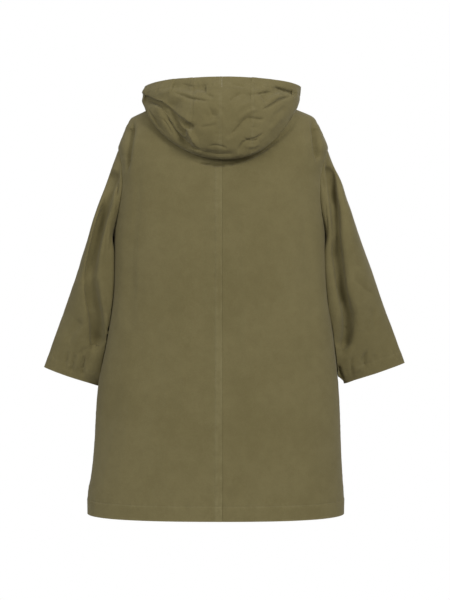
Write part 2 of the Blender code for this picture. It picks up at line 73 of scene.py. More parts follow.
# Body: rings from the neck down to the hem. side_z is the ring's height at the side and names the
# ring; left_x and right_x are its half-widths, back_y and front_y its half-depths, and square is the
# superellipse power, where 2 is an ellipse and more is boxier.
BODY_COLUMNS = ("side_z", "back_z", "front_z", "left_x", "right_x", "back_y", "front_y", "square")
BODY_RINGS = (
    (0.008, -0.015, -0.085, 0.088, 0.088, 0.078, 0.105, 2.00),
    (-0.008, -0.031, -0.096, 0.135, 0.135, 0.085, 0.108, 2.00),
    (-0.027, -0.049, -0.108, 0.186, 0.186, 0.092, 0.112, 2.05),
    (-0.044, -0.065, -0.118, 0.221, 0.223, 0.098, 0.116, 2.15),
    (-0.059, -0.078, -0.126, 0.231, 0.233, 0.103, 0.119, 2.25),
    (-0.090, -0.104, -0.143, 0.244, 0.247, 0.111, 0.125, 2.40),
    (-0.120, -0.130, -0.161, 0.253, 0.257, 0.116, 0.129, 2.55),
    (-0.160, -0.166, -0.188, 0.249, 0.250, 0.121, 0.133, 2.70),
    (-0.200, -0.203, -0.216, 0.249, 0.245, 0.124, 0.135, 2.75),
    (-0.245, -0.246, -0.253, 0.253, 0.245, 0.126, 0.137, 2.75),
    (-0.340, -0.340, -0.342, 0.265, 0.253, 0.127, 0.137, 2.60),
    (-0.490, -0.490, -0.490, 0.269, 0.260, 0.126, 0.135, 2.45),
    (-0.588, -0.588, -0.588, 0.282, 0.274, 0.126, 0.133, 2.45),
    (-0.700, -0.700, -0.700, 0.303, 0.285, 0.128, 0.133, 2.45),
    (-0.858, -0.858, -0.858, 0.314, 0.291, 0.131, 0.135, 2.50),
    (-0.920, -0.920, -0.920, 0.321, 0.294, 0.133, 0.136, 2.50),
    (-0.960, -0.960, -0.960, 0.328, 0.297, 0.134, 0.137, 2.50),
    (-1.009, -1.009, -1.009, 0.329, 0.298, 0.136, 0.138, 2.50),
)
NECK_LEVEL = BODY_RINGS[0][0]
HEM_LEVEL = BODY_RINGS[-1][0]

# Armhole: an oval on the body's side, from the end of the shoulder seam to the underarm.
ARMHOLE_TOP = -0.120
ARMHOLE_BOTTOM = -0.340
ARMHOLE_BACK_Y = 0.057
ARMHOLE_FRONT_Y = 0.062

# Front closing: the left front laps over the right one.
LAP = 0.022
UNDERLAP_INSET = WALL + 0.0009
UNDERLAP_BLEND = 0.030
BUTTON_LEVELS = (-0.110, -0.250, -0.390, -0.530, -0.670)
BUTTON_RADIUS = 0.0100
BUTTON_THICKNESS = 0.0036
BUTTON_RIM = 0.0022
BUTTON_DISH = 0.0010
BUTTON_CLEARANCE = 0.0006

# Sleeves: (x, z) of the cuff's outer and inner corners, seen from behind.
CUFF_CORNERS = {
    "left": {"outer": (0.439, -0.656), "inner": (0.3030, -0.7025)},
    "right": {"outer": (0.452, -0.645), "inner": (0.2985, -0.696)},
}
SLEEVE_COLUMNS = ("along", "back_y", "front_y", "middle_y", "out")
SLEEVE_RINGS = (
    (0.00, 0.0595, 0.0595, -0.0025, 0.000),
    (0.10, 0.0680, 0.0680, -0.0040, 0.016),
    (0.25, 0.0730, 0.0720, -0.0080, 0.026),
    (0.50, 0.0700, 0.0700, -0.0160, 0.018),
    (0.75, 0.0520, 0.0540, -0.0260, 0.008),
    (1.00, 0.0270, 0.0280, -0.0320, 0.000),
)
ARMHOLE_FADE = 0.30
# Below the underarm a sleeve lies against the body: its inner side would reach in by SLEEVE_TUCK,
# and is held off the body by UNDERARM_CLEARANCE until it leaves it towards the cuff.
UNDERARM_CLEARANCE = 0.0026
UNDERARM_FADE = 0.08
SLEEVE_TUCK = 0.011
SLEEVE_TUCK_FADE = 0.30
SLEEVE_LEAVES_BODY = {"left": 0.88, "right": 0.84}

# Hood: closed loops in the order that the cloth runs, from the neck seam up and over, down the
# outside of the back to the fold at the bottom of the bag, and up its outside to the rim.
HOOD_COLUMNS = (
    "left_x", "right_x", "side_y", "back_y", "front_y", "back_z", "side_z", "front_z",
    "back_bow", "front_bow", "point",
)
HOOD_LOOPS = (
    (0.0880, 0.0880, 0.000, 0.0780, -0.1050, -0.0142, 0.0088, -0.0842, 2.0, 2.0, 1.00),
    (0.0930, 0.0930, 0.001, 0.0850, -0.1090, 0.0050, 0.0220, -0.0690, 1.9, 1.9, 1.10),
    (0.1120, 0.1110, 0.002, 0.0990, -0.1110, 0.0060, 0.0210, -0.0620, 1.7, 1.7, 1.25),
    (0.1480, 0.1450, 0.003, 0.1080, -0.1130, -0.0550, 0.0060, -0.0580, 1.6, 1.5, 1.35),
    (0.1800, 0.1690, 0.004, 0.1190, -0.1150, -0.1290, -0.0100, -0.0550, 1.5, 1.5, 1.40),
    (0.1900, 0.1790, 0.006, 0.1240, -0.1170, -0.1630, -0.0160, -0.0520, 1.4, 1.5, 1.40),
    (0.1930, 0.1820, 0.010, 0.1340, -0.1190, -0.1715, -0.0150, -0.0490, 1.4, 1.5, 1.40),
    (0.1950, 0.1850, 0.014, 0.1530, -0.1210, -0.1580, -0.0100, -0.0460, 1.4, 1.5, 1.40),
    (0.1950, 0.1880, 0.018, 0.1700, -0.1230, -0.1050, 0.0000, -0.0420, 1.3, 1.5, 1.40),
    (0.1920, 0.1895, 0.022, 0.1650, -0.1250, -0.0300, 0.0130, -0.0370, 1.4, 1.5, 1.40),
    (0.1880, 0.1905, 0.024, 0.1380, -0.1270, 0.0320, 0.0255, -0.0320, 1.4, 1.5, 1.40),
)
HOOD_FOLD_LOOP = 6
HOOD_CLEARANCE = 0.0040
HOOD_SEAM_NECK = 0.036
HOOD_SEAM_TOP = 0.068
HOOD_SEAM_WIDENS_BY = 0.45
# The hood clears the back from HOOD_NECK_FADE of its cloth on, where it turns backwards.
HOOD_NECK_FADE, HOOD_BACK_FADE = 0.12, 4

# Folds: soft troughs seen from behind, each along a line of (x, z) points. The piece says which
# cloth it dents, width is the trough's half-width and depth how far it goes in at its deepest.
FOLDS = (
    {"piece": "sleeve", "width": 0.0135, "depth": 0.0200,
     "line": ((0.262, -0.175), (0.296, -0.322), (0.318, -0.435), (0.302, -0.520), (0.308, -0.600))},
    {"piece": "sleeve", "width": 0.0135, "depth": 0.0200,
     "line": ((-0.262, -0.165), (-0.274, -0.255), (-0.286, -0.400), (-0.308, -0.530), (-0.300, -0.610))},
    {"piece": "hood", "width": 0.0150, "depth": 0.0170,
     "line": ((0.188, -0.004), (0.134, -0.024), (0.116, -0.042), (0.094, -0.082), (0.074, -0.104))},
    {"piece": "hood", "width": 0.0120, "depth": 0.0080,
     "line": ((0.118, 0.012), (0.092, 0.006), (0.068, 0.000), (0.036, 0.000))},
    {"piece": "hood", "width": 0.0120, "depth": 0.0080,
     "line": ((-0.168, 0.004), (-0.130, 0.002), (-0.092, -0.022))},
    {"piece": "body", "width": 0.0110, "depth": 0.0060,
     "line": ((0.224, -0.075), (0.226, -0.110), (0.228, -0.150))},
    {"piece": "body", "width": 0.0110, "depth": 0.0060,
     "line": ((-0.224, -0.075), (-0.227, -0.110), (-0.228, -0.150))},
)
# A fold grows over FOLD_TAPER of its line at each end, from FOLD_END of the way. On the body it
# fades out within 1 / BODY_FOLD_FADE of the side.
FOLD_TAPER, FOLD_END = 0.06, 0.25
BODY_FOLD_FADE = 3.0
SLEEVE_FRONT_SHARE = 0.45
SLEEVE_FOLD_FACING, SLEEVE_FOLD_STARTS = 0.7, 0.08
# On the hood they start past the fold loop, and grow over as many loops.
HOOD_FOLDS_START, HOOD_FOLDS_GROW = 0.5, 1.5

SIDES = {"left": 1.0, "right": -1.0}


def smooth_step(x):
    """Rises from 0 at x = 0 to 1 at x = 1 with no corner at either end."""
    x = np.clip(x, 0.0, 1.0)
    return x * x * (3.0 - 2.0 * x)


def smooth_through(at, knots, values):
    """A smooth curve through (knots, values) that never overshoots between two of them."""
    knots, values, at = (np.asarray(a, float) for a in (knots, values, at))
    if knots[0] > knots[-1]:
        knots, values = knots[::-1], values[::-1]
    step = np.diff(knots)
    slope = np.diff(values) / step
    tangent = np.concatenate([slope[:1], (slope[:-1] + slope[1:]) / 2, slope[-1:]])
    flat = slope[:-1] * slope[1:] <= 0
    limit = 3 * np.minimum(abs(slope[:-1]), abs(slope[1:]))
    inner = np.sign(tangent[1:-1]) * np.minimum(abs(tangent[1:-1]), limit)
    tangent[1:-1] = np.where(flat, 0.0, inner)
    i = np.clip(np.searchsorted(knots, at) - 1, 0, len(step) - 1)
    u = (at - knots[i]) / step[i]
    rise = u * u * (3 - 2 * u)
    start = u * (1 - u) ** 2 * step[i] * tangent[i]
    end = u * u * (u - 1) * step[i] * tangent[i + 1]
    return values[i] * (1 - rise) + values[i + 1] * rise + start + end


def column(rows, columns, name):
    return [row[columns.index(name)] for row in rows]


def body_size(level, name):
    """A size of the body's ring at a level."""
    return smooth_through(level, column(BODY_RINGS, BODY_COLUMNS, "side_z"),
                          column(BODY_RINGS, BODY_COLUMNS, name))


def body_half(side, level):
    return body_size(level, "left_x" if side > 0 else "right_x")


def bell(distance, width):
    """1 at no distance, falling smoothly to nothing within about twice the width."""
    return np.exp(-((distance / width) ** 2))


def ends_fade(place, taper, start):
    """Fades in from the start of a line, where place is 0, and out towards its end at 1."""
    return smooth_step(place / taper + start) * smooth_step((1 - place) / taper + start)


def beside_line(across, down, line):
    """(signed distance, place from 0 to 1, length) of points beside a line of points. In a picture
    whose down grows downwards, the distance is positive to the left of a line that runs down and
    below one that runs right."""
    line = np.asarray(line, float)
    steps = np.diff(line, axis=0)
    lengths = np.hypot(*steps.T)
    starts = np.concatenate([[0.0], np.cumsum(lengths)])
    best, signed = np.full((2, *np.shape(across)), np.inf)
    place = np.zeros(np.shape(across))
    for (ax, ay), (dx, dy), length, start in zip(line[:-1], steps, lengths, starts):
        ux, uy = dx / length, dy / length
        px, py = across - ax, down - ay
        t = np.clip(px * ux + py * uy, 0.0, length)
        away = np.hypot(px - t * ux, py - t * uy)
        side = np.where(ux * py - uy * px > 0, 1.0, -1.0)
        closer = away < best
        best = np.where(closer, away, best)
        signed = np.where(closer, away * side, signed)
        place = np.where(closer, (start + t) / starts[-1], place)
    return signed, place, starts[-1]


def fold_depth(piece, x, z):
    """How far the folds of a piece push its cloth in at points (x, z)."""
    total = np.zeros(np.shape(x))
    for fold in FOLDS:
        if fold["piece"] == piece:
            away, place, _ = beside_line(x, z, fold["line"])
            ends = ends_fade(place, FOLD_TAPER, FOLD_END)
            total = total + fold["depth"] * bell(away, fold["width"]) * ends
    return total


def body_point(side, angle, level):
    """The body's outer face. angle is a right angle at the centre back, 0 at the side and minus a
    right angle at the centre front, and goes on past that where the front laps over."""
    power = 2.0 / body_size(level, "square")
    half = body_half(side, level)
    c, s = np.cos(angle), np.sin(angle)
    x = side * half * np.sign(c) * np.abs(c) ** power
    depth = np.where(s > 0, body_size(level, "back_y"), body_size(level, "front_y"))
    y = np.sign(s) * depth * np.abs(s) ** power
    end_z = np.where(s > 0, body_size(level, "back_z"), body_size(level, "front_z"))
    z = level + (end_z - level) * s * s
    y = y - np.where(s > 0, fold_depth("body", x, z) * smooth_step(s * BODY_FOLD_FADE), 0.0)
    return np.stack([x, y, z], axis=-1)


def larger(a, b, blend):
    """The larger of a and b, rounded over where they come within blend of each other."""
    return (a + b + np.sqrt((a - b) ** 2 + blend ** 2)) / 2


def body_across(side, y, z):
    """How far the body reaches sideways at depth y, below the shoulders."""
    depth = np.where(y > 0, body_size(z, "back_y"), body_size(z, "front_y"))
    square = body_size(z, "square")
    inside = np.clip(1 - np.abs(y / depth) ** square, 0.0, 1.0)
    return body_half(side, z) * inside ** (1 / square)


def body_behind(side, x, z):
    """How far back the body reaches at (x, z) seen from behind, or 0 beside and above it. The
    ring that passes there is found by a few steps from the one at height z."""
    level = z
    for _ in range(RING_SEARCH_STEPS):
        ring = np.clip(level, HEM_LEVEL, NECK_LEVEL)
        square = body_size(ring, "square")
        across = np.abs(x / body_half(side, ring)) ** square
        rise = np.clip(1 - across, 0.0, 1.0)
        level = z - (body_size(ring, "back_z") - ring) * rise
    return np.where(level < NECK_LEVEL, body_size(ring, "back_y") * rise ** (1 / square), 0.0)


def armhole_at(turn, grow=0.0):
    """(angle, level) of the armhole's edge, or of an oval that is wider all round by grow. turn is
    0 at its top, where the shoulder seam ends, a half turn at the underarm, and between them it
    runs down the back."""
    middle = (ARMHOLE_TOP + ARMHOLE_BOTTOM) / 2
    half = (ARMHOLE_TOP - ARMHOLE_BOTTOM) / 2 + grow
    level = middle + half * np.cos(turn)
    s = np.sin(turn)
    depth = (np.where(s > 0, ARMHOLE_BACK_Y, ARMHOLE_FRONT_Y) + grow) * np.abs(s)
    ring = np.where(s > 0, body_size(level, "back_y"), body_size(level, "front_y"))
    angle = np.arcsin((depth / ring) ** (body_size(level, "square") / 2))
    return np.sign(s) * angle, level


def armhole_point(side, turn):
    return body_point(side, *armhole_at(turn))


def sleeve_point(side, turn, along):
    """The sleeve's outer face. turn runs as in armhole_at, and along is 0 at the armhole and 1 at
    the cuff."""
    name = "left" if side > 0 else "right"
    size = {key: smooth_through(along, column(SLEEVE_RINGS, SLEEVE_COLUMNS, "along"),
                                column(SLEEVE_RINGS, SLEEVE_COLUMNS, key))
            for key in SLEEVE_COLUMNS[1:]}
    top, under = body_point(side, np.zeros(2), np.array([ARMHOLE_TOP, ARMHOLE_BOTTOM]))
    (outer_x, outer_z), (inner_x, inner_z) = (CUFF_CORNERS[name][end] for end in ("outer", "inner"))
    over_x = abs(top[0]) + (outer_x - abs(top[0])) * along
    over_z = top[2] + (outer_z - top[2]) * along
    under_z = under[2] + (inner_z - under[2]) * along
    clearance = UNDERARM_CLEARANCE * smooth_step(along / UNDERARM_FADE)
    tuck = SLEEVE_TUCK * smooth_step(along / SLEEVE_TUCK_FADE)
    at_end = inner_x - body_half(side, np.array(inner_z))
    leaves = SLEEVE_LEAVES_BODY[name]
    off = smooth_step((along - leaves) / (1 - leaves))
    under_x = body_half(side, under_z) + (clearance - tuck) * (1 - off) + at_end * off

    def ring(over_x, over_z, under_x, under_z, back_y, front_y, middle_y, out):
        c, s = np.cos(turn), np.sin(turn)
        x = (over_x + under_x) / 2 + (over_x - under_x) / 2 * c + out * s * s
        z = (over_z + under_z) / 2 + (over_z - under_z) / 2 * c
        y = middle_y + np.where(s > 0, back_y, front_y) * s
        return np.stack([side * x, y, z], axis=-1)

    here = ring(over_x, over_z, under_x, under_z, **size)
    first = dict(zip(SLEEVE_COLUMNS[1:], SLEEVE_RINGS[0][1:]))
    plain = ring(abs(top[0]), top[2], abs(under[0]), under[2], **first)
    to_armhole = armhole_point(side, turn) - plain
    point = here + to_armhole * (1 - smooth_step(along / ARMHOLE_FADE))[..., None]
    facing = smooth_step(np.abs(np.sin(turn)) / SLEEVE_FOLD_FACING)
    facing = facing * smooth_step(along / SLEEVE_FOLD_STARTS)
    inward = np.where(np.sin(turn) > 0, -1.0, SLEEVE_FRONT_SHARE) * facing
    y = point[..., 1] + inward * fold_depth("sleeve", point[..., 0], point[..., 2])
    beside_body = body_across(side, y, point[..., 2]) + clearance - SEAM_GAP
    blend = BLEND * smooth_step(along / UNDERARM_FADE)
    x = side * larger(side * point[..., 0], beside_body, blend)
    return np.stack([x, y, point[..., 2]], axis=-1)


def hood_loop(side, turn, loop):
    """A point on one of the hood's loops. turn is 0 at the centre back and a half turn at the
    centre front."""
    size = dict(zip(HOOD_COLUMNS, loop))
    s, c = np.abs(np.sin(turn)), np.cos(turn)
    at_front = c < 0
    half = size["left_x"] if side > 0 else size["right_x"]
    x = side * half * s ** np.where(at_front, size["point"], 1.0)
    end_y = np.where(at_front, size["front_y"], size["back_y"])
    y = size["side_y"] + (end_y - size["side_y"]) * np.abs(c)
    end_z = np.where(at_front, size["front_z"], size["back_z"])
    bow = np.abs(c) ** np.where(at_front, size["front_bow"], size["back_bow"])
    z = size["side_z"] + (end_z - size["side_z"]) * bow
    return np.stack([x, y, z], axis=-1)


def hood_point(side, turn, along):
    """The hood's outer face, from the neck seam at along = 0 to the rim at along = 1."""
    loops = np.stack([hood_loop(side, turn, loop) for loop in HOOD_LOOPS])
    last = len(HOOD_LOOPS) - 1
    place = np.clip(along, -0.01, 1.01) * last
    i = np.clip(np.floor(place).astype(int), 0, last - 1)
    u = (place - i)[..., None]
    columns = np.indices(np.shape(turn))
    before = loops[(np.maximum(i - 1, 0), *columns)]
    here = loops[(i, *columns)]
    after = loops[(i + 1, *columns)]
    beyond = loops[(np.minimum(i + 2, last), *columns)]
    point = here + 0.5 * u * (after - before + u * (2 * before - 5 * here + 4 * after - beyond
                                                    + u * (3 * (here - after) + beyond - before)))
    backwards = np.cos(turn) * HOOD_BACK_FADE
    outside = smooth_step((along * last - HOOD_FOLD_LOOP - HOOD_FOLDS_START) / HOOD_FOLDS_GROW)
    outside = outside * smooth_step(backwards + 0.6)
    y = point[..., 1] - outside * fold_depth("hood", point[..., 0], point[..., 2])
    on_back = smooth_step(along / HOOD_NECK_FADE) * smooth_step(backwards)
    behind = body_behind(side, point[..., 0], point[..., 2]) + HOOD_CLEARANCE
    y = y + (larger(y, behind, BLEND) - y) * on_back
    return np.stack([point[..., 0], y, point[..., 2]], axis=-1)


def hood_size(along, name):
    """A size of the hood's loops at a place along its cloth."""
    knots = np.linspace(0.0, 1.0, len(HOOD_LOOPS))
    return smooth_through(along, knots, column(HOOD_LOOPS, HOOD_COLUMNS, name))


def hood_seam_x(along):
    """How far off the centre line the seam between the hood's centre and side panels lies."""
    widened = smooth_step(along / HOOD_SEAM_WIDENS_BY)
    return HOOD_SEAM_NECK + (HOOD_SEAM_TOP - HOOD_SEAM_NECK) * widened


def hood_turn_at(along, x):
    """The turn at which the hood lies x metres off its centre line."""
    return np.arcsin(x / hood_size(along, "left_x"))


# --- What the dressing adds --------------------------------------------------------------------

MM = 0.001
TINY = 1e-12
ACROSS = np.array([1.0, 0.0, 0.0])

# The photo's view: photo pixels are metres over PIXEL at the depth of the neck.
CAMERA_PLACE = (-0.007, 3.0, -0.490)
CAMERA_LENS = 73.5
SENSOR_HEIGHT = 36.0
PHOTO_SIZE = (450, 600)
PIXEL = CAMERA_PLACE[1] * SENSOR_HEIGHT / CAMERA_LENS / PHOTO_SIZE[1]

# How finely each surface is sampled here. A back faces 1 and a front -1. The rows are those above,
# beside and below the armhole, and the hood's lengths those inside and outside its lower fold.
FACINGS = {"back": 1, "front": -1}
PANEL_COLUMNS = {1: 98, -1: 50}
ROWS_ABOVE, ROWS_BESIDE, ROWS_BELOW = 34, 54, 104
SHOULDER_CROWDING = 1.2
SLEEVE_TURNS, SLEEVE_LENGTHS = 144, 156
HOOD_SIDE_TURNS, HOOD_CENTRE_TURNS = 220, 40
HOOD_LENGTHS = (36, 160)
HOOD_CROWDING = 0.36
DENSE = 161
# Extra columns and rows beside edges and stitches, in metres from them
NEAR_CENTRE = (0.0, 0.0010, 0.0030, 0.0070, 0.0135, 0.0155, 0.0175, 0.0200)
NEAR_SIDE = (0.0, 0.0010, 0.0030, 0.0065, 0.0085, 0.0105)
NEAR_STITCHES = (0.0030, 0.0012, 0.0, -0.0012, -0.0030)
NEAR_HEM = (0.0030, 0.0010)

# Cloth: how thick it is, how much of the outside's wear its inside shows, and where it creases hard
CLOTH = 0.0010
INSIDE_WEAR = 0.3
CLOTH_SHARP = math.radians(55)

# Sewing: turned edges, laps, and how far stitches run from an edge or a seam
HEM_TURN = 0.035
CUFF_TURN = 0.030
RIM_CASING = 0.022
CENTRE_LAP = 0.017
UNDER_BACK = 0.012
ARMHOLE_LAP = 0.009
HOOD_LAP = 0.008
HOOD_UNDERLAP = 0.006
PLACKET = 0.036
STITCH_INSET = 0.0015
SEAM_STITCH = 0.0062
EDGE_STITCH, PLACKET_STITCH = 0.0055, PLACKET + 0.014
LIFT = 0.0006
# How the under layer of a lap sinks, by facing: depth, where it starts, and how far it blends
UNDERLAPS = {
    1: (LIFT, 0.004, 0.004),
    -1: (UNDERLAP_INSET, LAP + UNDERLAP_BLEND + 0.012, UNDERLAP_BLEND),
}

# What a seam has unless it says otherwise. lift raises a lap within width of its curve, and band its
# outer face alone. stitched gives the distances of its rows of stitches, and pucker how high the
# cloth puckers at them, spread in towards the curve and out from it. reach bounds all of these.
SEAM = {
    "lift": 0.0, "band": 0.0, "width": 0.010, "groove": 0.0, "worn": 0.9, "rubbed": 0.0,
    "stitched": (), "pucker": 0.0006, "pucker_in": 0.0065, "pucker_out": 0.0100, "reach": 0.060,
}
LAP_EDGE = 0.0012
GROOVE_WIDTH, WORN_WIDTH, PUCKER_WEAR_WIDTH = 0.0016, 0.0026, 0.0050
STITCH_SINKS, STITCH_FURROW = 0.00045, 0.0013
# Patches: a level, and (share, grain in metres) of two ripples. Puckers have no level.
WORN_PATCHES = (0.55, (0.45, 0.030), (0.35, 0.009))
RUBBED_PATCHES = (0.45, (0.95, 0.110), (0.30, 0.016))
PUCKERS = ((1.0, 0.0058), (0.6, 0.013))

# How much paler the cloth wears beside a row of stitches and on its puckers
STITCH_WEAR, PUCKER_WEAR = 0.40, 0.22

# Stitches: rods drawn in at their ends. Their rings: place, share of the radius, rise in radii
STITCH_LENGTH, STITCH_PITCH, STITCH_RADIUS, STITCH_RISE = 0.0030, 0.0043, 0.00030, 0.00012
CAPSULE_RINGS = ((0.0, 0.35, -0.4), (0.14, 1.0, 0.15), (0.86, 1.0, 0.15), (1.0, 0.35, -0.4))
CAPSULE_SIDES = 5

# Where the cloth leaves its model a little, to lie as the photo shows it. The inner half of each
# sleeve's back is fuller, pulled towards the body and held just off it, all but at its ends.
SLEEVE_FULLER, SLEEVE_FULL_POWER = 0.062, 0.45
SLEEVE_PULL, SLEEVE_PULL_FADES, SLEEVE_OFF_BODY = 0.014, (0.25, 0.5), 0.0004
SLEEVE_INNER, SLEEVE_ENDS = 0.6, (0.15, 0.08)
# Its first centimetre sinks under the body's edge, and its creases start past that.
SLEEVE_SINKS, SLEEVE_SINK_END, SLEEVE_CREASES_START = 0.0012, 0.012, 0.05
# The hood's lower fold stands off the back and rises, by so much on the left and on the right,
# within so many loops of the fold and up to a turn that is past its side.
HOOD_STANDS_OFF, HOOD_RISES = (0.0005, 0.012), (0.011, 0.003)
HOOD_OFF_LOOPS, HOOD_OFF_TURN, HOOD_OFF_BLEND = 1.8, 1.9, 0.6
HOOD_OFF_SPAN, HOOD_RISE_START = 0.12, -0.10
# The centre panels' edges sink under the side panels, and the hood's inside hardly creases.
HOOD_UNDER_SINKS, HOOD_UNDER_BLEND = 0.0005, 0.002
HOOD_INSIDE_CREASED = 0.06
# The right cuff's inner corner curls: where, the shape and reach of the curl, and how far it moves
CURL_Y, CURL_SHAPE, CURL_REACH, CURL = -0.020, (1.0, 0.55, 1.0), 0.034, (-0.003, 0.006, 0.0)
# How little the closing creases, within so many metres of the centre line
CLOSING_CREASED, CLOSING_HALF, CLOSING_BLEND = 0.15, 0.018, 0.030
# The under front's stitches sink with it, all but a little.
UNDERLAP_STITCHES = 0.985

# Buttons and buttonholes
HOLE_OFFSET, HOLE_RADIUS = 0.0024, 0.0010
HOLE_SIGNS = tuple(itertools.product((-1, 1), repeat=2))
BUTTON_SEGMENTS = 48
BUTTON_SHARP = math.radians(40)
BUTTONHOLE_LENGTH, BUTTONHOLE_INNER, BUTTONHOLE_STITCHES = 0.024, 0.004, 34
BUTTONHOLE_BITE, BAR_STEP = 0.0021, 0.0006
BUTTON_THREAD_RADIUS, BUTTONHOLE_THREAD_RADIUS = 0.00028, 0.00033
STRANDS = (-0.00042, 0.0, 0.00042)

# Creases start from CREASE_END of their depth, and swell and thin along their length.
CREASE_TAPER, CREASE_END = 0.30, 0.12
SWELL, SWELL_LENGTH, SWELL_SHIFT = 0.22, 0.021, 2.4
# A sharp profile reaches further than a soft one, in widths.
SHARP_POWER, SHARP_REACH, SOFT_REACH = 1.7, 4.5, 3.0
# How far a surface turns towards a side before that side's creases show in full, and the share
# they start from
FACES, FACES_START = 0.30, 0.25
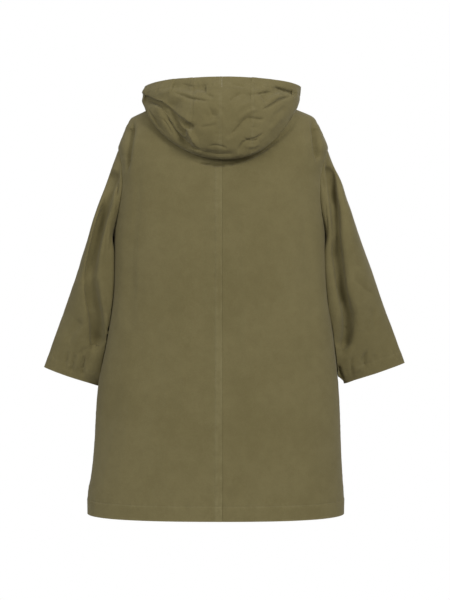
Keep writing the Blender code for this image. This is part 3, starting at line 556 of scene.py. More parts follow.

# Creases seen from behind, along lines of photo pixels read off one by one. depth is in millimetres,
# in for a trough and out, with a minus, for a ridge. A line that runs down has width on its right and
# other_width on its left, and one that runs right has them above and below, also in millimetres. A
# power of 2 is a soft round profile and 1 a sharp one.
CREASE_COLUMNS = ("depth", "width", "other_width", "power", "line")
BACK_CREASES = {
    "hood": (
        # the fold that runs in from the left end, and the wrinkles
        (3.6, 1.8, 2.6, 1.3, ((145, 99), (150, 100), (156, 102.5), (162, 106), (167, 110), (172, 116))),
        (13.0, 15, 6, 1.8, ((159, 104), (165, 115), (170, 125), (176, 135), (183, 144), (190, 151))),
        (-6.5, 8, 4, 1.7, ((166, 104), (173, 109), (181, 114), (189, 120), (195, 126))),
        (-5.0, 6, 6, 2.0, ((146, 106), (152, 118), (160, 131), (170, 142), (181, 151))),
        (-12.0, 14, 4, 1.8, ((140, 91.5), (147, 93.5), (153, 96), (159, 99), (165, 102.5), (173, 108))),
        (-10.0, 7, 7, 2.0, ((178, 116), (186, 127), (192, 137), (198, 149))),
        (3.4, 2.2, 3.0, 1.3, ((161, 117), (165, 123), (169, 130), (173, 137))),
        (2.8, 2.2, 3.0, 1.3, ((151, 113), (154, 118), (158, 124), (161, 129))),
        (2.4, 3.0, 4.0, 1.5, ((163, 117), (168, 121), (174, 125))),
        (4.6, 1.6, 2.0, 1.3, ((145, 109), (148, 114), (152, 120), (157, 128))),
        (3.4, 1.6, 2.2, 1.3, ((148, 108), (151, 113), (155, 119), (158, 124))),
        (4.6, 3.0, 4.0, 1.4, ((184, 142), (190, 147), (197, 149), (203, 152))),
        (3.0, 3.0, 3.0, 1.4, ((188, 131), (190, 139), (193, 146))),
        (5.0, 2.2, 5.0, 1.3, ((171, 92), (178, 93), (186, 95), (194, 98), (203, 100), (211, 101))),
        (3.2, 4.0, 8.0, 1.5, ((183, 95), (190, 98), (196, 101))),
        (-3.4, 6.0, 5.0, 2.0, ((194, 92), (200, 93), (206, 94))),
        (3.0, 2.2, 4.0, 1.4, ((206, 94), (210, 95), (214, 97))),
        (2.6, 3.0, 3.5, 1.4, ((209, 106), (211, 112), (214, 116), (219, 114))),
        (2.4, 3.0, 5.0, 1.6, ((199, 128), (205, 126), (211, 126), (217, 123))),
        (-2.4, 6.0, 8.0, 2.0, ((212, 104), (218, 110), (222, 119), (224, 130))),
        (4.4, 3.0, 5.0, 1.4, ((230, 103), (232, 99), (236, 95), (242, 93))),
        (2.4, 8.0, 5.0, 1.8, ((238, 92), (246, 93), (252, 95))),
        (-2.6, 8.0, 8.0, 2.0, ((232, 112), (240, 107), (249, 103), (257, 101))),
        (3.6, 2.0, 3.4, 1.3, ((247, 94), (256, 94), (263, 93), (271, 92))),
        (6.0, 2.2, 3.4, 1.3, ((274, 87), (281, 89), (288, 91), (297, 94))),
        (6.5, 2.2, 4.4, 1.3, ((262, 110), (267, 107), (274, 103), (281, 98), (291, 96))),
        (-2.4, 6.0, 6.0, 2.0, ((266, 102), (273, 98), (281, 94))),
        (3.4, 2.2, 3.6, 1.3, ((231, 135), (236, 129), (241, 123), (246, 118), (250, 116))),
        (4.4, 2.4, 5.5, 1.5, ((246, 118), (252, 118), (258, 119), (265, 119))),
        (-2.6, 5.0, 6.0, 2.0, ((236, 122), (243, 115), (251, 111), (259, 110))),
        (4.8, 2.2, 4.0, 1.3, ((238, 152), (240, 146), (244, 141), (251, 139), (257, 138), (264, 132))),
        (3.4, 2.0, 2.4, 1.3, ((243, 137), (248, 140), (254, 141), (259, 139))),
        (-2.4, 5.0, 5.0, 2.0, ((246, 146), (253, 147), (261, 143))),
        (-2.2, 7.0, 7.0, 2.0, ((268, 131), (276, 124), (283, 116))),
        (1.8, 5.0, 8.0, 1.8, ((272, 117), (279, 112), (287, 106))),
        (7.5, 9.0, 12.0, 1.8, ((198, 152), (208, 154), (220, 155.5), (232, 155), (238, 154))),
        (3.0, 2.6, 3.4, 1.4, ((207, 147), (214, 145), (221, 146), (228, 149))),
        (-2.0, 6.0, 6.0, 2.0, ((160, 95), (168, 91), (178, 88))),
        (1.8, 2.4, 3.0, 1.4, ((181, 84), (187, 85), (195, 87))),
        (1.8, 2.4, 3.0, 1.4, ((232, 84), (240, 86), (247, 86))),
        (3.4, 12, 14, 2.0, ((171, 100), (178, 101), (186, 103), (194, 105))),
        (3.0, 10, 12, 2.0, ((228, 100), (236, 96), (246, 97), (257, 97))),
        (2.6, 12, 12, 2.0, ((203, 118), (210, 116), (218, 112), (224, 106))),
        (2.6, 10, 10, 2.0, ((226, 138), (231, 133), (237, 127), (243, 124))),
    ),
    "body": (
        # where the hood lies on it, then creases down from the armholes and flares below
        (8.0, 4.0, 3.0, 2.0, ((184, 158), (194, 162), (206, 164.5), (220, 165.5), (234, 164),
            (246, 160), (260, 153), (270, 146), (280, 138), (290, 129), (296, 120), (300, 111))),
        (11.0, 5, 3.5, 1.5, ((133, 120), (131, 132), (129.5, 145), (128, 158), (127, 172))),
        (-1.8, 9, 7, 2.0, ((138, 126), (136, 138), (133, 152), (131, 170), (130, 190))),
        (1.4, 8, 8, 2.0, ((142, 160), (138, 190), (135, 230), (133, 275), (134, 330))),
        (1.6, 12, 12, 2.0, ((131, 228), (129, 262), (130, 300), (129, 336))),
        (-1.6, 16, 14, 2.0, ((124, 215), (121, 260), (120, 310), (118, 352))),
        (2.2, 14, 22, 2.0, ((122, 374), (115, 402), (107, 434), (100, 462), (97, 490))),
        (-2.0, 20, 18, 2.0, ((134, 384), (128, 420), (122, 460), (119, 498))),
        (2.6, 38, 5, 2.0, ((223, 150), (223.5, 230), (223, 320), (222.5, 410), (223, 500))),
        (1.0, 10, 14, 2.0, ((160, 300), (158, 350), (160, 400), (157, 450))),
        (-1.0, 18, 16, 2.0, ((181, 210), (183, 280), (180, 350), (184, 430))),
        (1.2, 12, 16, 2.0, ((205, 180), (203, 240), (206, 300), (202, 360))),
        (1.2, 3, 4, 1.5, ((161, 505), (168, 504), (177, 505))),
        (11.0, 5, 3.5, 1.5, ((312, 118), (314, 132), (315.5, 147), (317, 163))),
        (1.8, 6, 6, 1.8, ((307, 126), (309, 140), (311, 154), (312, 170))),
        (-1.8, 6, 6, 2.0, ((319, 130), (320, 142), (321, 154))),
        (1.2, 8, 10, 2.0, ((301, 160), (304, 200), (306, 245), (305, 290))),
        (-1.4, 14, 16, 2.0, ((314, 205), (318, 250), (320, 300), (323, 350))),
        (1.5, 12, 14, 2.0, ((309, 240), (312, 290), (311, 340), (315, 380))),
        (-1.4, 20, 18, 2.0, ((300, 380), (305, 420), (309, 460), (311, 498))),
        (1.6, 18, 20, 2.0, ((318, 392), (323, 425), (328, 455), (331, 490))),
        (1.0, 14, 12, 2.0, ((262, 250), (264, 310), (260, 370), (265, 440))),
        (-1.0, 16, 18, 2.0, ((245, 200), (242, 260), (246, 330), (243, 400))),
    ),
    "sleeve_left": (
        (12.0, 14, 6, 1.8, ((111, 190), (105, 206), (98, 226), (92, 247), (88, 266), (86, 280))),
        (11.0, 16, 6, 1.8, ((86, 280), (88, 296), (91, 312), (93, 328), (94, 342), (90, 356))),
        (-5.5, 8, 7, 2.0, ((111, 205), (107, 222), (104, 240), (101, 258), (98, 272))),
        (-5.5, 7, 8, 2.0, ((100, 286), (103, 300), (106, 316), (107, 332), (105, 346))),
        (6.0, 4, 4, 1.6, ((117, 172), (114, 182), (111, 192), (107, 204))),
        (10.0, 5, 6, 1.5, ((121, 160), (119, 170), (117, 180), (117, 200))),
        (2.0, 1.8, 2.4, 1.5, ((109, 214), (108, 230), (106, 246), (105, 262))),
        (1.6, 1.8, 2.4, 1.5, ((113, 226), (111, 240), (109, 256))),
        (-2.6, 5, 7, 1.8, ((117, 176), (115, 192), (114, 210), (112, 226))),
        (-2.4, 10, 8, 2.0, ((100, 212), (95, 232), (89, 252), (84, 270))),
        (2.4, 8, 10, 2.0, ((84, 262), (80, 272), (74, 280), (66, 286))),
        (-1.8, 8, 8, 2.0, ((98, 258), (100, 276), (103, 296), (106, 318))),
        (4.0, 8, 10, 2.0, ((82, 318), (78, 326), (72, 334), (67, 343))),
        (-1.6, 8, 9, 2.0, ((88, 306), (84, 320), (79, 334), (74, 346))),
        (1.8, 6, 7, 1.8, ((66, 296), (62, 306), (60, 318))),
        (2.0, 4, 5, 1.6, ((88, 347), (83, 352), (77, 356), (72, 362))),
        (5.0, 3.0, 3.6, 1.5, ((75, 353), (73, 362), (71, 373))),
        (5.0, 3.0, 3.6, 1.5, ((85, 355), (83, 365), (82, 377))),
        (4.0, 2.8, 3.4, 1.5, ((68, 351), (66, 360), (65, 370))),
        (-2.0, 4, 4, 2.0, ((80, 352), (78, 360), (76, 370))),
        (2.6, 3.0, 3.4, 1.5, ((91, 352), (88, 361), (86, 369))),
        (1.6, 8, 8, 2.0, ((96, 190), (90, 208), (85, 226))),
        (-1.4, 9, 8, 2.0, ((112, 156), (106, 172), (101, 186))),
    ),
    "sleeve_right": (
        (10.0, 13, 6, 1.8, ((322, 144), (325, 156), (328, 170), (331, 184), (333, 200), (334, 218),
            (334, 238))),
        (-9.0, 10, 8, 2.0, ((333, 160), (338, 188), (343, 213), (345, 240), (346, 262), (349, 285),
            (353, 305), (355, 326))),
        (7.0, 4, 5, 1.7, ((325, 155), (328, 166), (331, 178), (334, 192), (335, 206))),
        (9.0, 5, 5, 1.5, ((319, 158), (321, 168), (323, 178), (324, 192))),
        (2.0, 2.4, 1.8, 1.5, ((325, 200), (326, 216), (328, 234))),
        (11.0, 14, 6, 1.8, ((334, 238), (335, 256), (338, 274), (341, 290), (344, 304), (346, 318))),
        (9.0, 12, 6, 1.7, ((344, 304), (346, 318), (346.5, 331), (344, 344), (340, 358))),
        (-2.4, 8, 6, 2.0, ((346, 200), (350, 224), (353, 248), (357, 266))),
        (-2.0, 5, 4, 1.6, ((354, 268), (360, 274), (367, 281))),
        (2.4, 5, 7, 1.7, ((352, 276), (360, 284), (368, 291), (376, 296))),
        (1.8, 8, 8, 2.0, ((360, 226), (367, 240), (375, 252))),
        (-1.6, 8, 8, 2.0, ((356, 300), (360, 318), (362, 336))),
        (2.0, 7, 8, 2.0, ((371, 306), (374, 320), (376, 334))),
        (2.2, 4, 5, 1.6, ((369, 348), (366, 354), (362, 361), (360, 369))),
        (5.0, 3.4, 3.0, 1.5, ((353, 355), (351, 364), (352, 376))),
        (4.6, 3.4, 3.0, 1.5, ((366, 352), (364, 361), (366, 372))),
        (2.4, 3.0, 2.6, 1.5, ((375, 354), (374, 361), (376, 368))),
        (-1.8, 4, 4, 2.0, ((359, 357), (358, 365), (359, 373))),
        (9.0, 3.0, 4.0, 1.6, ((338, 365), (340, 371), (342, 379))),
        (1.4, 8, 8, 2.0, ((340, 156), (347, 176), (352, 196))),
    ),
}

# Creases of the side that the photo doesn't show, along lines of (x, z) in metres, of the same kind.
# A line that runs down has width towards the wearer's left.
FRONT_CREASES = {
    "body": (
        (3.6, 5, 6, 1.5, ((0.222, -0.088), (0.226, -0.115), (0.226, -0.150), (0.221, -0.190))),
        (-1.8, 8, 8, 2.0, ((0.206, -0.100), (0.208, -0.140), (0.204, -0.190), (0.196, -0.240))),
        (1.6, 10, 12, 2.0, ((0.178, -0.200), (0.186, -0.290), (0.190, -0.380), (0.184, -0.470))),
        (2.0, 16, 18, 2.0, ((0.236, -0.660), (0.248, -0.760), (0.256, -0.860), (0.260, -0.950))),
        (-1.6, 18, 18, 2.0, ((0.200, -0.640), (0.206, -0.740), (0.204, -0.860), (0.210, -0.960))),
        (1.2, 14, 12, 2.0, ((0.110, -0.300), (0.116, -0.430), (0.108, -0.560), (0.114, -0.700))),
        (1.4, 4, 6, 1.6, ((0.036, -0.262), (0.056, -0.280), (0.078, -0.306))),
        (1.2, 4, 5, 1.6, ((0.034, -0.400), (0.052, -0.412), (0.068, -0.432))),
        (1.2, 4, 5, 1.6, ((-0.036, -0.540), (-0.056, -0.556), (-0.074, -0.580))),
        (1.3, 4, 5, 1.6, ((-0.038, -0.122), (-0.058, -0.142), (-0.080, -0.170))),
        (3.2, 5, 5, 1.5, ((-0.224, -0.092), (-0.227, -0.120), (-0.226, -0.152), (-0.220, -0.184))),
        (-1.6, 8, 8, 2.0, ((-0.206, -0.098), (-0.209, -0.140), (-0.206, -0.182), (-0.198, -0.226))),
        (1.6, 12, 10, 2.0, ((-0.182, -0.220), (-0.190, -0.310), (-0.188, -0.400), (-0.180, -0.480))),
        (-1.4, 16, 16, 2.0, ((-0.150, -0.500), (-0.154, -0.620), (-0.148, -0.740), (-0.152, -0.860))),
        (1.8, 18, 16, 2.0, ((-0.206, -0.640), (-0.216, -0.750), (-0.222, -0.850), (-0.224, -0.950))),
        (1.2, 14, 12, 2.0, ((-0.096, -0.330), (-0.100, -0.450), (-0.094, -0.580), (-0.102, -0.690))),
    ),
    "hood": (
        (3.4, 5, 7, 1.5, ((0.178, 0.004), (0.150, -0.004), (0.120, -0.014), (0.090, -0.030))),
        (-2.0, 7, 7, 2.0, ((0.172, 0.014), (0.140, 0.008), (0.112, -0.004))),
        (2.4, 4, 6, 1.5, ((0.150, -0.018), (0.122, -0.028), (0.096, -0.042))),
        (3.0, 5, 7, 1.5, ((-0.174, 0.006), (-0.146, -0.004), (-0.118, -0.018), (-0.086, -0.034))),
        (-1.8, 7, 7, 2.0, ((-0.170, 0.016), (-0.138, 0.006), (-0.104, -0.008))),
        (2.2, 4, 6, 1.5, ((-0.148, -0.022), (-0.118, -0.034), (-0.090, -0.046))),
    ),
    "sleeve_left": (
        (5.0, 7, 8, 1.7, ((0.276, -0.190), (0.292, -0.260), (0.312, -0.340), (0.330, -0.410),
            (0.338, -0.450))),
        (4.0, 6, 7, 1.7, ((0.338, -0.450), (0.330, -0.500), (0.322, -0.560), (0.330, -0.610))),
        (-2.0, 9, 8, 2.0, ((0.306, -0.240), (0.326, -0.320), (0.344, -0.390))),
        (2.2, 8, 8, 2.0, ((0.352, -0.430), (0.372, -0.460), (0.394, -0.476))),
        (2.4, 5, 6, 1.8, ((0.384, -0.560), (0.392, -0.586), (0.396, -0.612))),
        (1.8, 4, 5, 1.6, ((0.358, -0.632), (0.370, -0.642), (0.380, -0.658))),
    ),
    "sleeve_right": (
        (4.6, 8, 7, 1.7, ((-0.276, -0.176), (-0.286, -0.250), (-0.302, -0.330), (-0.322, -0.410),
            (-0.336, -0.470))),
        (4.0, 7, 6, 1.7, ((-0.336, -0.470), (-0.332, -0.530), (-0.322, -0.590), (-0.330, -0.630))),
        (-2.0, 8, 9, 2.0, ((-0.312, -0.250), (-0.330, -0.330), (-0.350, -0.400))),
        (2.4, 8, 8, 2.0, ((-0.356, -0.436), (-0.378, -0.458), (-0.400, -0.470))),
        (2.2, 5, 6, 1.8, ((-0.396, -0.560), (-0.404, -0.590), (-0.408, -0.612))),
        (1.6, 4, 5, 1.6, ((-0.366, -0.636), (-0.378, -0.648), (-0.384, -0.664))),
    ),
}

# Rumpling, smooth and uneven, everywhere: grain (x, y, z) in metres, height in metres
RUMPLES = {
    "body": (((0.080, 0.080, 0.260), 0.0016), ((0.036, 0.036, 0.080), 0.0006),
             ((0.013, 0.013, 0.022), 0.00016)),
    "sleeve": (((0.060, 0.060, 0.150), 0.0016), ((0.026, 0.026, 0.055), 0.0008),
               ((0.011, 0.011, 0.018), 0.00018)),
    "hood": (((0.050, 0.050, 0.036), 0.0015), ((0.022, 0.022, 0.017), 0.0007),
             ((0.010, 0.010, 0.009), 0.00018)),
}
LATTICE, LATTICE_PLACE = 32, 160.5
RIPPLES = 512
# How many points are measured against a curve at a time
BLOCK = 4000
# The order of corners that turns a quad over and keeps its diagonal
TURNED = [0, 3, 2, 1]

# --- Heights on the surfaces -------------------------------------------------------------------


def seen_at(points):
    """(across, down) in photo pixels of points in metres, as the photo's camera sees them."""
    shrink = (CAMERA_PLACE[1] - points[..., 1]) / CAMERA_PLACE[1] * PIXEL
    across = PHOTO_SIZE[0] / 2 - (points[..., 0] - CAMERA_PLACE[0]) / shrink
    down = PHOTO_SIZE[1] / 2 - (points[..., 2] - CAMERA_PLACE[2]) / shrink
    return across, down


def rounded(line):
    """The line with its corners cut twice, so that a crease along it bends smoothly."""
    line = np.asarray(line, float)
    for _ in range(2):
        first = line[:-1] * 0.75 + line[1:] * 0.25
        second = line[:-1] * 0.25 + line[1:] * 0.75
        between = np.stack([first, second], axis=1).reshape(-1, 2)
        line = np.concatenate([line[:1], between[1:-1], line[-1:]])
    return line


def crease_height(piece, creases, across, down, unit):
    """Height in metres that the creases of a piece give its cloth. unit is metres for each unit of
    across and down. Each crease swells and thins along its length, out of step with the others."""
    total = np.zeros(np.shape(across))
    rows = [(name, row) for name, group in creases.items() for row in group]
    for number, (name, row) in enumerate(rows):
        if name != piece:
            continue
        crease = dict(zip(CREASE_COLUMNS, row))
        line = rounded(crease["line"])
        widest = max(crease["width"], crease["other_width"]) * MM / unit
        reach = widest * (SOFT_REACH if crease["power"] > SHARP_POWER else SHARP_REACH)
        low, high = line.min(axis=0) - reach, line.max(axis=0) + reach
        near = (across > low[0]) & (across < high[0]) & (down > low[1]) & (down < high[1])
        if not near.any():
            continue
        signed, place, length = beside_line(across[near], down[near], line)
        width = np.where(signed > 0, crease["other_width"], crease["width"]) * MM / unit
        uneven = 1 + SWELL * np.sin(place * length * unit / SWELL_LENGTH + SWELL_SHIFT * number)
        ends = ends_fade(place, CREASE_TAPER, CREASE_END)
        profile = np.exp(-((np.abs(signed) / width) ** crease["power"]))
        total[near] -= crease["depth"] * MM * profile * ends * uneven
    return total


def noise(points, grain, seed):
    """Smooth uneven values from -1 to 1 over points, with a grain of that size."""
    lattice = np.random.RandomState(seed).uniform(-1.0, 1.0, (LATTICE, LATTICE, LATTICE))
    place = points / np.asarray(grain) + LATTICE_PLACE
    cell = np.floor(place).astype(int)
    part = smooth_step(place - cell)
    total = np.zeros(points.shape[:-1])
    for corner in itertools.product((0, 1), repeat=3):
        share = np.prod(np.where(np.array(corner) == 1, part, 1 - part), axis=-1)
        i, j, k = np.moveaxis((cell + np.array(corner)) % LATTICE, -1, 0)
        total += share * lattice[i, j, k]
    return total


def ripple(distance, grain, seed):
    """Smooth uneven values from -1 to 1 along a seam."""
    values = np.random.RandomState(seed).uniform(-1.0, 1.0, RIPPLES)
    place = distance / grain
    cell = np.floor(place).astype(int)
    part = smooth_step(place - cell)
    return values[cell % RIPPLES] * (1 - part) + values[(cell + 1) % RIPPLES] * part


def patches(along, level, coarse, fine, seed):
    """Uneven patches from 0 to 1 along a seam: a level, and (share, grain) of two ripples."""
    value = level
    for step, (share, grain) in enumerate((coarse, fine)):
        value = value + share * ripple(along, grain, seed + 100 * step)
    return np.clip(value, 0.0, 1.0)


def near_curve(points, curve, reach):
    """(distance, distance along) of points from a curve, infinite where it is out of reach."""
    flat = points.reshape(-1, 3)
    away = np.full(len(flat), np.inf)
    along = np.zeros(len(flat))
    low, high = curve.min(axis=0) - reach, curve.max(axis=0) + reach
    close = np.flatnonzero(np.all((flat > low) & (flat < high), axis=1))
    starts = np.concatenate([[0.0], np.cumsum(np.linalg.norm(np.diff(curve, axis=0), axis=1))])
    for block in np.array_split(close, max(1, len(close) // BLOCK)):
        if not len(block):
            continue
        p = flat[block]
        nearest = np.argmin(((p[:, None] - curve[None]) ** 2).sum(axis=2), axis=1)
        for shift in (-1, 0):
            first = np.clip(nearest + shift, 0, len(curve) - 2)
            a, d = curve[first], curve[first + 1] - curve[first]
            t = ((p - a) * d).sum(axis=1) / np.maximum((d * d).sum(axis=1), TINY)
            t = np.clip(t, 0.0, 1.0)
            gap = np.linalg.norm(p - a - t[:, None] * d, axis=1)
            better = gap < away[block]
            run = starts[first] + t * (starts[first + 1] - starts[first])
            along[block] = np.where(better, run, along[block])
            away[block] = np.where(better, gap, away[block])
    away = np.where(away < reach, away, np.inf)
    return away.reshape(points.shape[:-1]), along.reshape(points.shape[:-1])


def seam_heights(points, seams):
    """(lift, band, wear) in metres and from 0 to 1. lift moves both faces of the cloth, band only
    its outer one."""
    lift, band, wear = (np.zeros(points.shape[:-1]) for _ in range(3))
    for number, given in enumerate(seams):
        seam = {**SEAM, **given}
        away, along = near_curve(points, seam["curve"], seam["reach"])
        inside = np.isfinite(away)
        away = np.where(inside, away, 1.0)
        flat = smooth_step((seam["width"] + LAP_EDGE - away) / (2 * LAP_EDGE))
        lift += seam["lift"] * flat
        band += seam["band"] * flat
        band -= seam["groove"] * bell(away, GROOVE_WIDTH)
        worn = patches(along, *WORN_PATCHES, 400 + number)
        rubbed = patches(along, *RUBBED_PATCHES, 600 + number)
        wear += seam["worn"] * worn * bell(away, WORN_WIDTH)
        wear += seam["rubbed"] * flat * rubbed
        for stitch in seam["stitched"]:
            beside = away - stitch
            seed = 31 * number + int(1000 * stitch)
            band -= STITCH_SINKS * bell(beside, STITCH_FURROW)
            pucker = sum(share * ripple(along, grain, seed + step)
                         for step, (share, grain) in enumerate(PUCKERS))
            spread = np.where(beside < 0, seam["pucker_in"], seam["pucker_out"])
            lift += seam["pucker"] * pucker * bell(beside, spread) * inside
            wear += STITCH_WEAR * worn * bell(beside + GROOVE_WIDTH, GROOVE_WIDTH)
            high = np.clip(pucker, 0.0, 1.0)
            wear += PUCKER_WEAR * high * bell(beside, PUCKER_WEAR_WIDTH) * inside
    return lift, band, np.clip(wear, 0.0, 1.0)


def dressed(piece, points, normals, seams, creased=1.0):
    """(lift, band, wear) of a piece's cloth at points of its surface. creased is the share of its
    creases and rumpling that it has there."""
    kind = piece.split("_")[0]
    kind = {"back": "body", "front": "body"}.get(kind, kind)
    creases_of = piece if kind == "sleeve" else kind
    behind, before = (smooth_step(towards * normals[..., 1] / FACES + FACES_START)
                      for towards in (1, -1))
    height = crease_height(creases_of, BACK_CREASES, *seen_at(points), PIXEL) * behind
    height += crease_height(creases_of, FRONT_CREASES, -points[..., 0], -points[..., 2], 1.0) * before
    for number, (grain, tall) in enumerate(RUMPLES[kind]):
        height += tall * noise(points, grain, 11 + 7 * number)
    lift, band, wear = seam_heights(points, seams)
    return height * creased + lift, band, wear


# --- Grids and meshes ---------------------------------------------------------------------------


def unit(vectors):
    return vectors / np.maximum(np.linalg.norm(vectors, axis=-1, keepdims=True), TINY)


def grid_normals(points, closed):
    """Unit normals of a grid of points, along across x down."""
    if closed:
        wrapped = np.concatenate([points[:, -1:], points, points[:, :1]], axis=1)
        across = (wrapped[:, 2:] - wrapped[:, :-2]) / 2
    else:
        across = np.gradient(points, axis=1)
    return unit(np.cross(across, np.gradient(points, axis=0)))


def outward(surface, a, b):
    """Unit normals of surface(a, b), away from the hollow that it encloses on the left side."""
    across = surface(a + NORMAL_STEP, b) - surface(a - NORMAL_STEP, b)
    down = surface(a, b + NORMAL_STEP) - surface(a, b - NORMAL_STEP)
    return unit(np.cross(across, down))


def run_lengths(points, axis):
    """Distance along the grid from its first row or column."""
    steps = np.linalg.norm(np.diff(points, axis=axis), axis=-1)
    start = np.zeros_like(np.take(steps, [0], axis=axis))
    return np.concatenate([start, np.cumsum(steps, axis=axis)], axis=axis)


def spaced(surface, a, b, first, last, count):
    """Rows of parameters resampled to count steps: points at set distances from each end, and even
    steps between. a and b are rows sampled densely."""
    run = run_lengths(surface(a, b), 1)
    out_a, out_b = [], []
    for row_a, row_b, row in zip(a, b, run):
        start, end = np.asarray(first), row[-1] - np.asarray(last)[::-1]
        middle = np.linspace(start[-1], end[0], count + 3 - len(first) - len(last))[1:-1]
        at = np.concatenate([start, middle, end])
        out_a.append(np.interp(at, row, row_a))
        out_b.append(np.interp(at, row, row_b))
    return np.array(out_a), np.array(out_b)


def faces_of_grid(rows, columns, closed):
    """Quads of a grid of points. A closed grid joins its last column to its first."""
    last = columns if closed else columns - 1
    r, c = np.meshgrid(np.arange(rows - 1), np.arange(last), indexing="ij")
    d = (c + 1) % columns
    corners = [r * columns + c, r * columns + d, (r + 1) * columns + d, (r + 1) * columns + c]
    return np.stack(corners, axis=-1).reshape(-1, 4)


def wall_faces(rows, columns, closed):
    """Quads of the solid between two grids of points of the same shape."""
    count = rows * columns
    skin = faces_of_grid(rows, columns, closed)
    c = np.arange(columns if closed else columns - 1)
    d = (c + 1) % columns
    faces = [skin, skin[:, ::-1] + count,
             np.stack([d, c, c + count, d + count], axis=-1),
             np.stack([c, d, d + count, c + count], axis=-1) + (rows - 1) * columns]
    if not closed:
        a = np.arange(rows - 1) * columns
        b = a + columns
        faces += [np.stack([a, b, b + count, a + count], axis=-1),
                  np.stack([b, a, a + count, b + count], axis=-1) + columns - 1]
    return np.concatenate(faces)


def read_points(mesh):
    points = np.empty(len(mesh.vertices) * 3, np.float32)
    mesh.vertices.foreach_get("co", points)
    return points.reshape(-1, 3).astype(float)


def write_points(mesh, points):
    mesh.vertices.foreach_set("co", points.astype(np.float32).ravel())
    mesh.update()


def add_object(name, data):
    obj = bpy.data.objects.new(name, data)
    bpy.context.scene.collection.objects.link(obj)
    return obj


def add_mesh(name, points, faces, material, wear=None, uvs=None):
    mesh = bpy.data.meshes.new(name)
    size = faces.shape[1]
    mesh.vertices.add(len(points))
    mesh.vertices.foreach_set("co", np.asarray(points, np.float32).ravel())
    mesh.loops.add(faces.size)
    mesh.loops.foreach_set("vertex_index", faces.ravel().astype(np.int32))
    mesh.polygons.add(len(faces))
    mesh.polygons.foreach_set("loop_start", np.arange(0, faces.size, size, dtype=np.int32))
    mesh.polygons.foreach_set("loop_total", np.full(len(faces), size, np.int32))
    mesh.update(calc_edges=True)
    mesh.shade_smooth()
    if wear is not None:
        layer = mesh.attributes.new("wear", "FLOAT", "POINT")
        layer.data.foreach_set("value", np.asarray(wear, np.float32).ravel())
    if uvs is not None:
        layer = mesh.uv_layers.new(name="cut")
        layer.data.foreach_set("uv", np.asarray(uvs, np.float32)[faces.ravel()].ravel())
    mesh.validate()
    mesh.materials.append(material)
    return add_object(name, mesh)


def area_of(points, closed):
    """The area of a grid of points, and its longest row and column."""
    if closed:
        points = np.concatenate([points, points[:, :1]], axis=1)
    one = np.cross(points[1:, :-1] - points[:-1, :-1], points[:-1, 1:] - points[:-1, :-1])
    two = np.cross(points[1:, :-1] - points[1:, 1:], points[:-1, 1:] - points[1:, 1:])
    area = (np.linalg.norm(one, axis=-1).sum() + np.linalg.norm(two, axis=-1).sum()) / 2
    return area, run_lengths(points, 1)[:, -1].max(), run_lengths(points, 0)[-1].max()


def add_cloth(node, surface, a, b, seams, flip, material, closed=False, shift=0.0, creased=1.0):
    """A wall of cloth whose outer face is surface(a, b) with its heights added. flip is 1 or -1 and
    turns the normals away from the hollow, and shift is a further height in metres."""
    base = surface(a, b)
    normal = outward(surface, a, b) * flip
    lift, band, wear = dressed(node, base, normal, seams, creased)
    middle = base + normal * (lift + shift)[..., None]
    outer = middle + normal * band[..., None]
    through = grid_normals(middle, closed)
    facing = np.sign((through * normal).sum(axis=-1).mean())
    inner = middle - through * facing * CLOTH
    points = np.concatenate([outer.reshape(-1, 3), inner.reshape(-1, 3)])
    faces = wall_faces(*outer.shape[:2], closed)
    if facing < 0:
        faces = faces[:, TURNED]
    cut = np.stack([run_lengths(base, 1), run_lengths(base, 0)], axis=-1).reshape(-1, 2)
    wear = np.concatenate([wear.ravel(), wear.ravel() * INSIDE_WEAR])
    obj = add_mesh("cloth_" + node, points, faces, material, wear, np.concatenate([cut, cut]))
    obj.data.set_sharp_from_angle(angle=CLOTH_SHARP)
    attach(obj, "root")
    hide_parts(node)
    area, width, length = area_of(base, closed)
    return obj


# --- Stitches -----------------------------------------------------------------------------------

STITCHES = {}


def sew(node, surface, a, b, seams, flip, shift=0.0, group=None):
    """Lays stitches along a line of parameters on a dressed surface, in the mesh of that group or
    node."""
    a, b = np.asarray(a, float)[None, :], np.asarray(b, float)[None, :]
    base = surface(a, b)
    normal = outward(surface, a, b) * flip
    lift, band, _ = dressed(node, base, normal, seams)
    path = (base + normal * (lift + band + shift + STITCH_RISE)[..., None])[0]
    run = run_lengths(path[None], 1)[0]
    starts = np.arange(STITCH_PITCH * 0.5, run[-1] - STITCH_LENGTH, STITCH_PITCH)

    def at(values, distance):
        return np.stack([np.interp(distance, run, values[:, k]) for k in range(3)], axis=-1)

    first, second = at(path, starts), at(path, starts + STITCH_LENGTH)
    along = unit(second - first)
    side = unit(np.cross(along, at(normal[0], starts + STITCH_LENGTH / 2)))
    rods = capsules(first, second, side, np.cross(side, along), STITCH_RADIUS)
    STITCHES.setdefault(group or node, []).append(rods)


def capsules(first, second, side, up, radius):
    """(points, faces) of thin rods from first to second, drawn in at their ends."""
    rings, sides = len(CAPSULE_RINGS), CAPSULE_SIDES
    turns = np.arange(sides) * 2 * math.pi / sides
    points = []
    for place, wide, rise in CAPSULE_RINGS:
        centre = first + (second - first) * place + up * radius * rise
        for turn in turns:
            points.append(centre + radius * wide * (side * math.cos(turn) + up * math.sin(turn)))
    points = np.stack(points, axis=1)
    faces = faces_of_grid(rings, sides, True)[None]
    faces = faces + (np.arange(len(points)) * rings * sides)[:, None, None]
    inward = (np.cross(side, up) * (second - first)).sum(axis=1) < 0
    faces[inward] = faces[inward][..., TURNED]
    return points.reshape(-1, 3), faces.reshape(-1, 4)


def add_rods(node, rods, radius):
    """Adds rods, each given as (first, second, side, up), to the stitches of a node."""
    STITCHES.setdefault(node, []).append(capsules(*np.array(rods).transpose(1, 0, 2), radius))


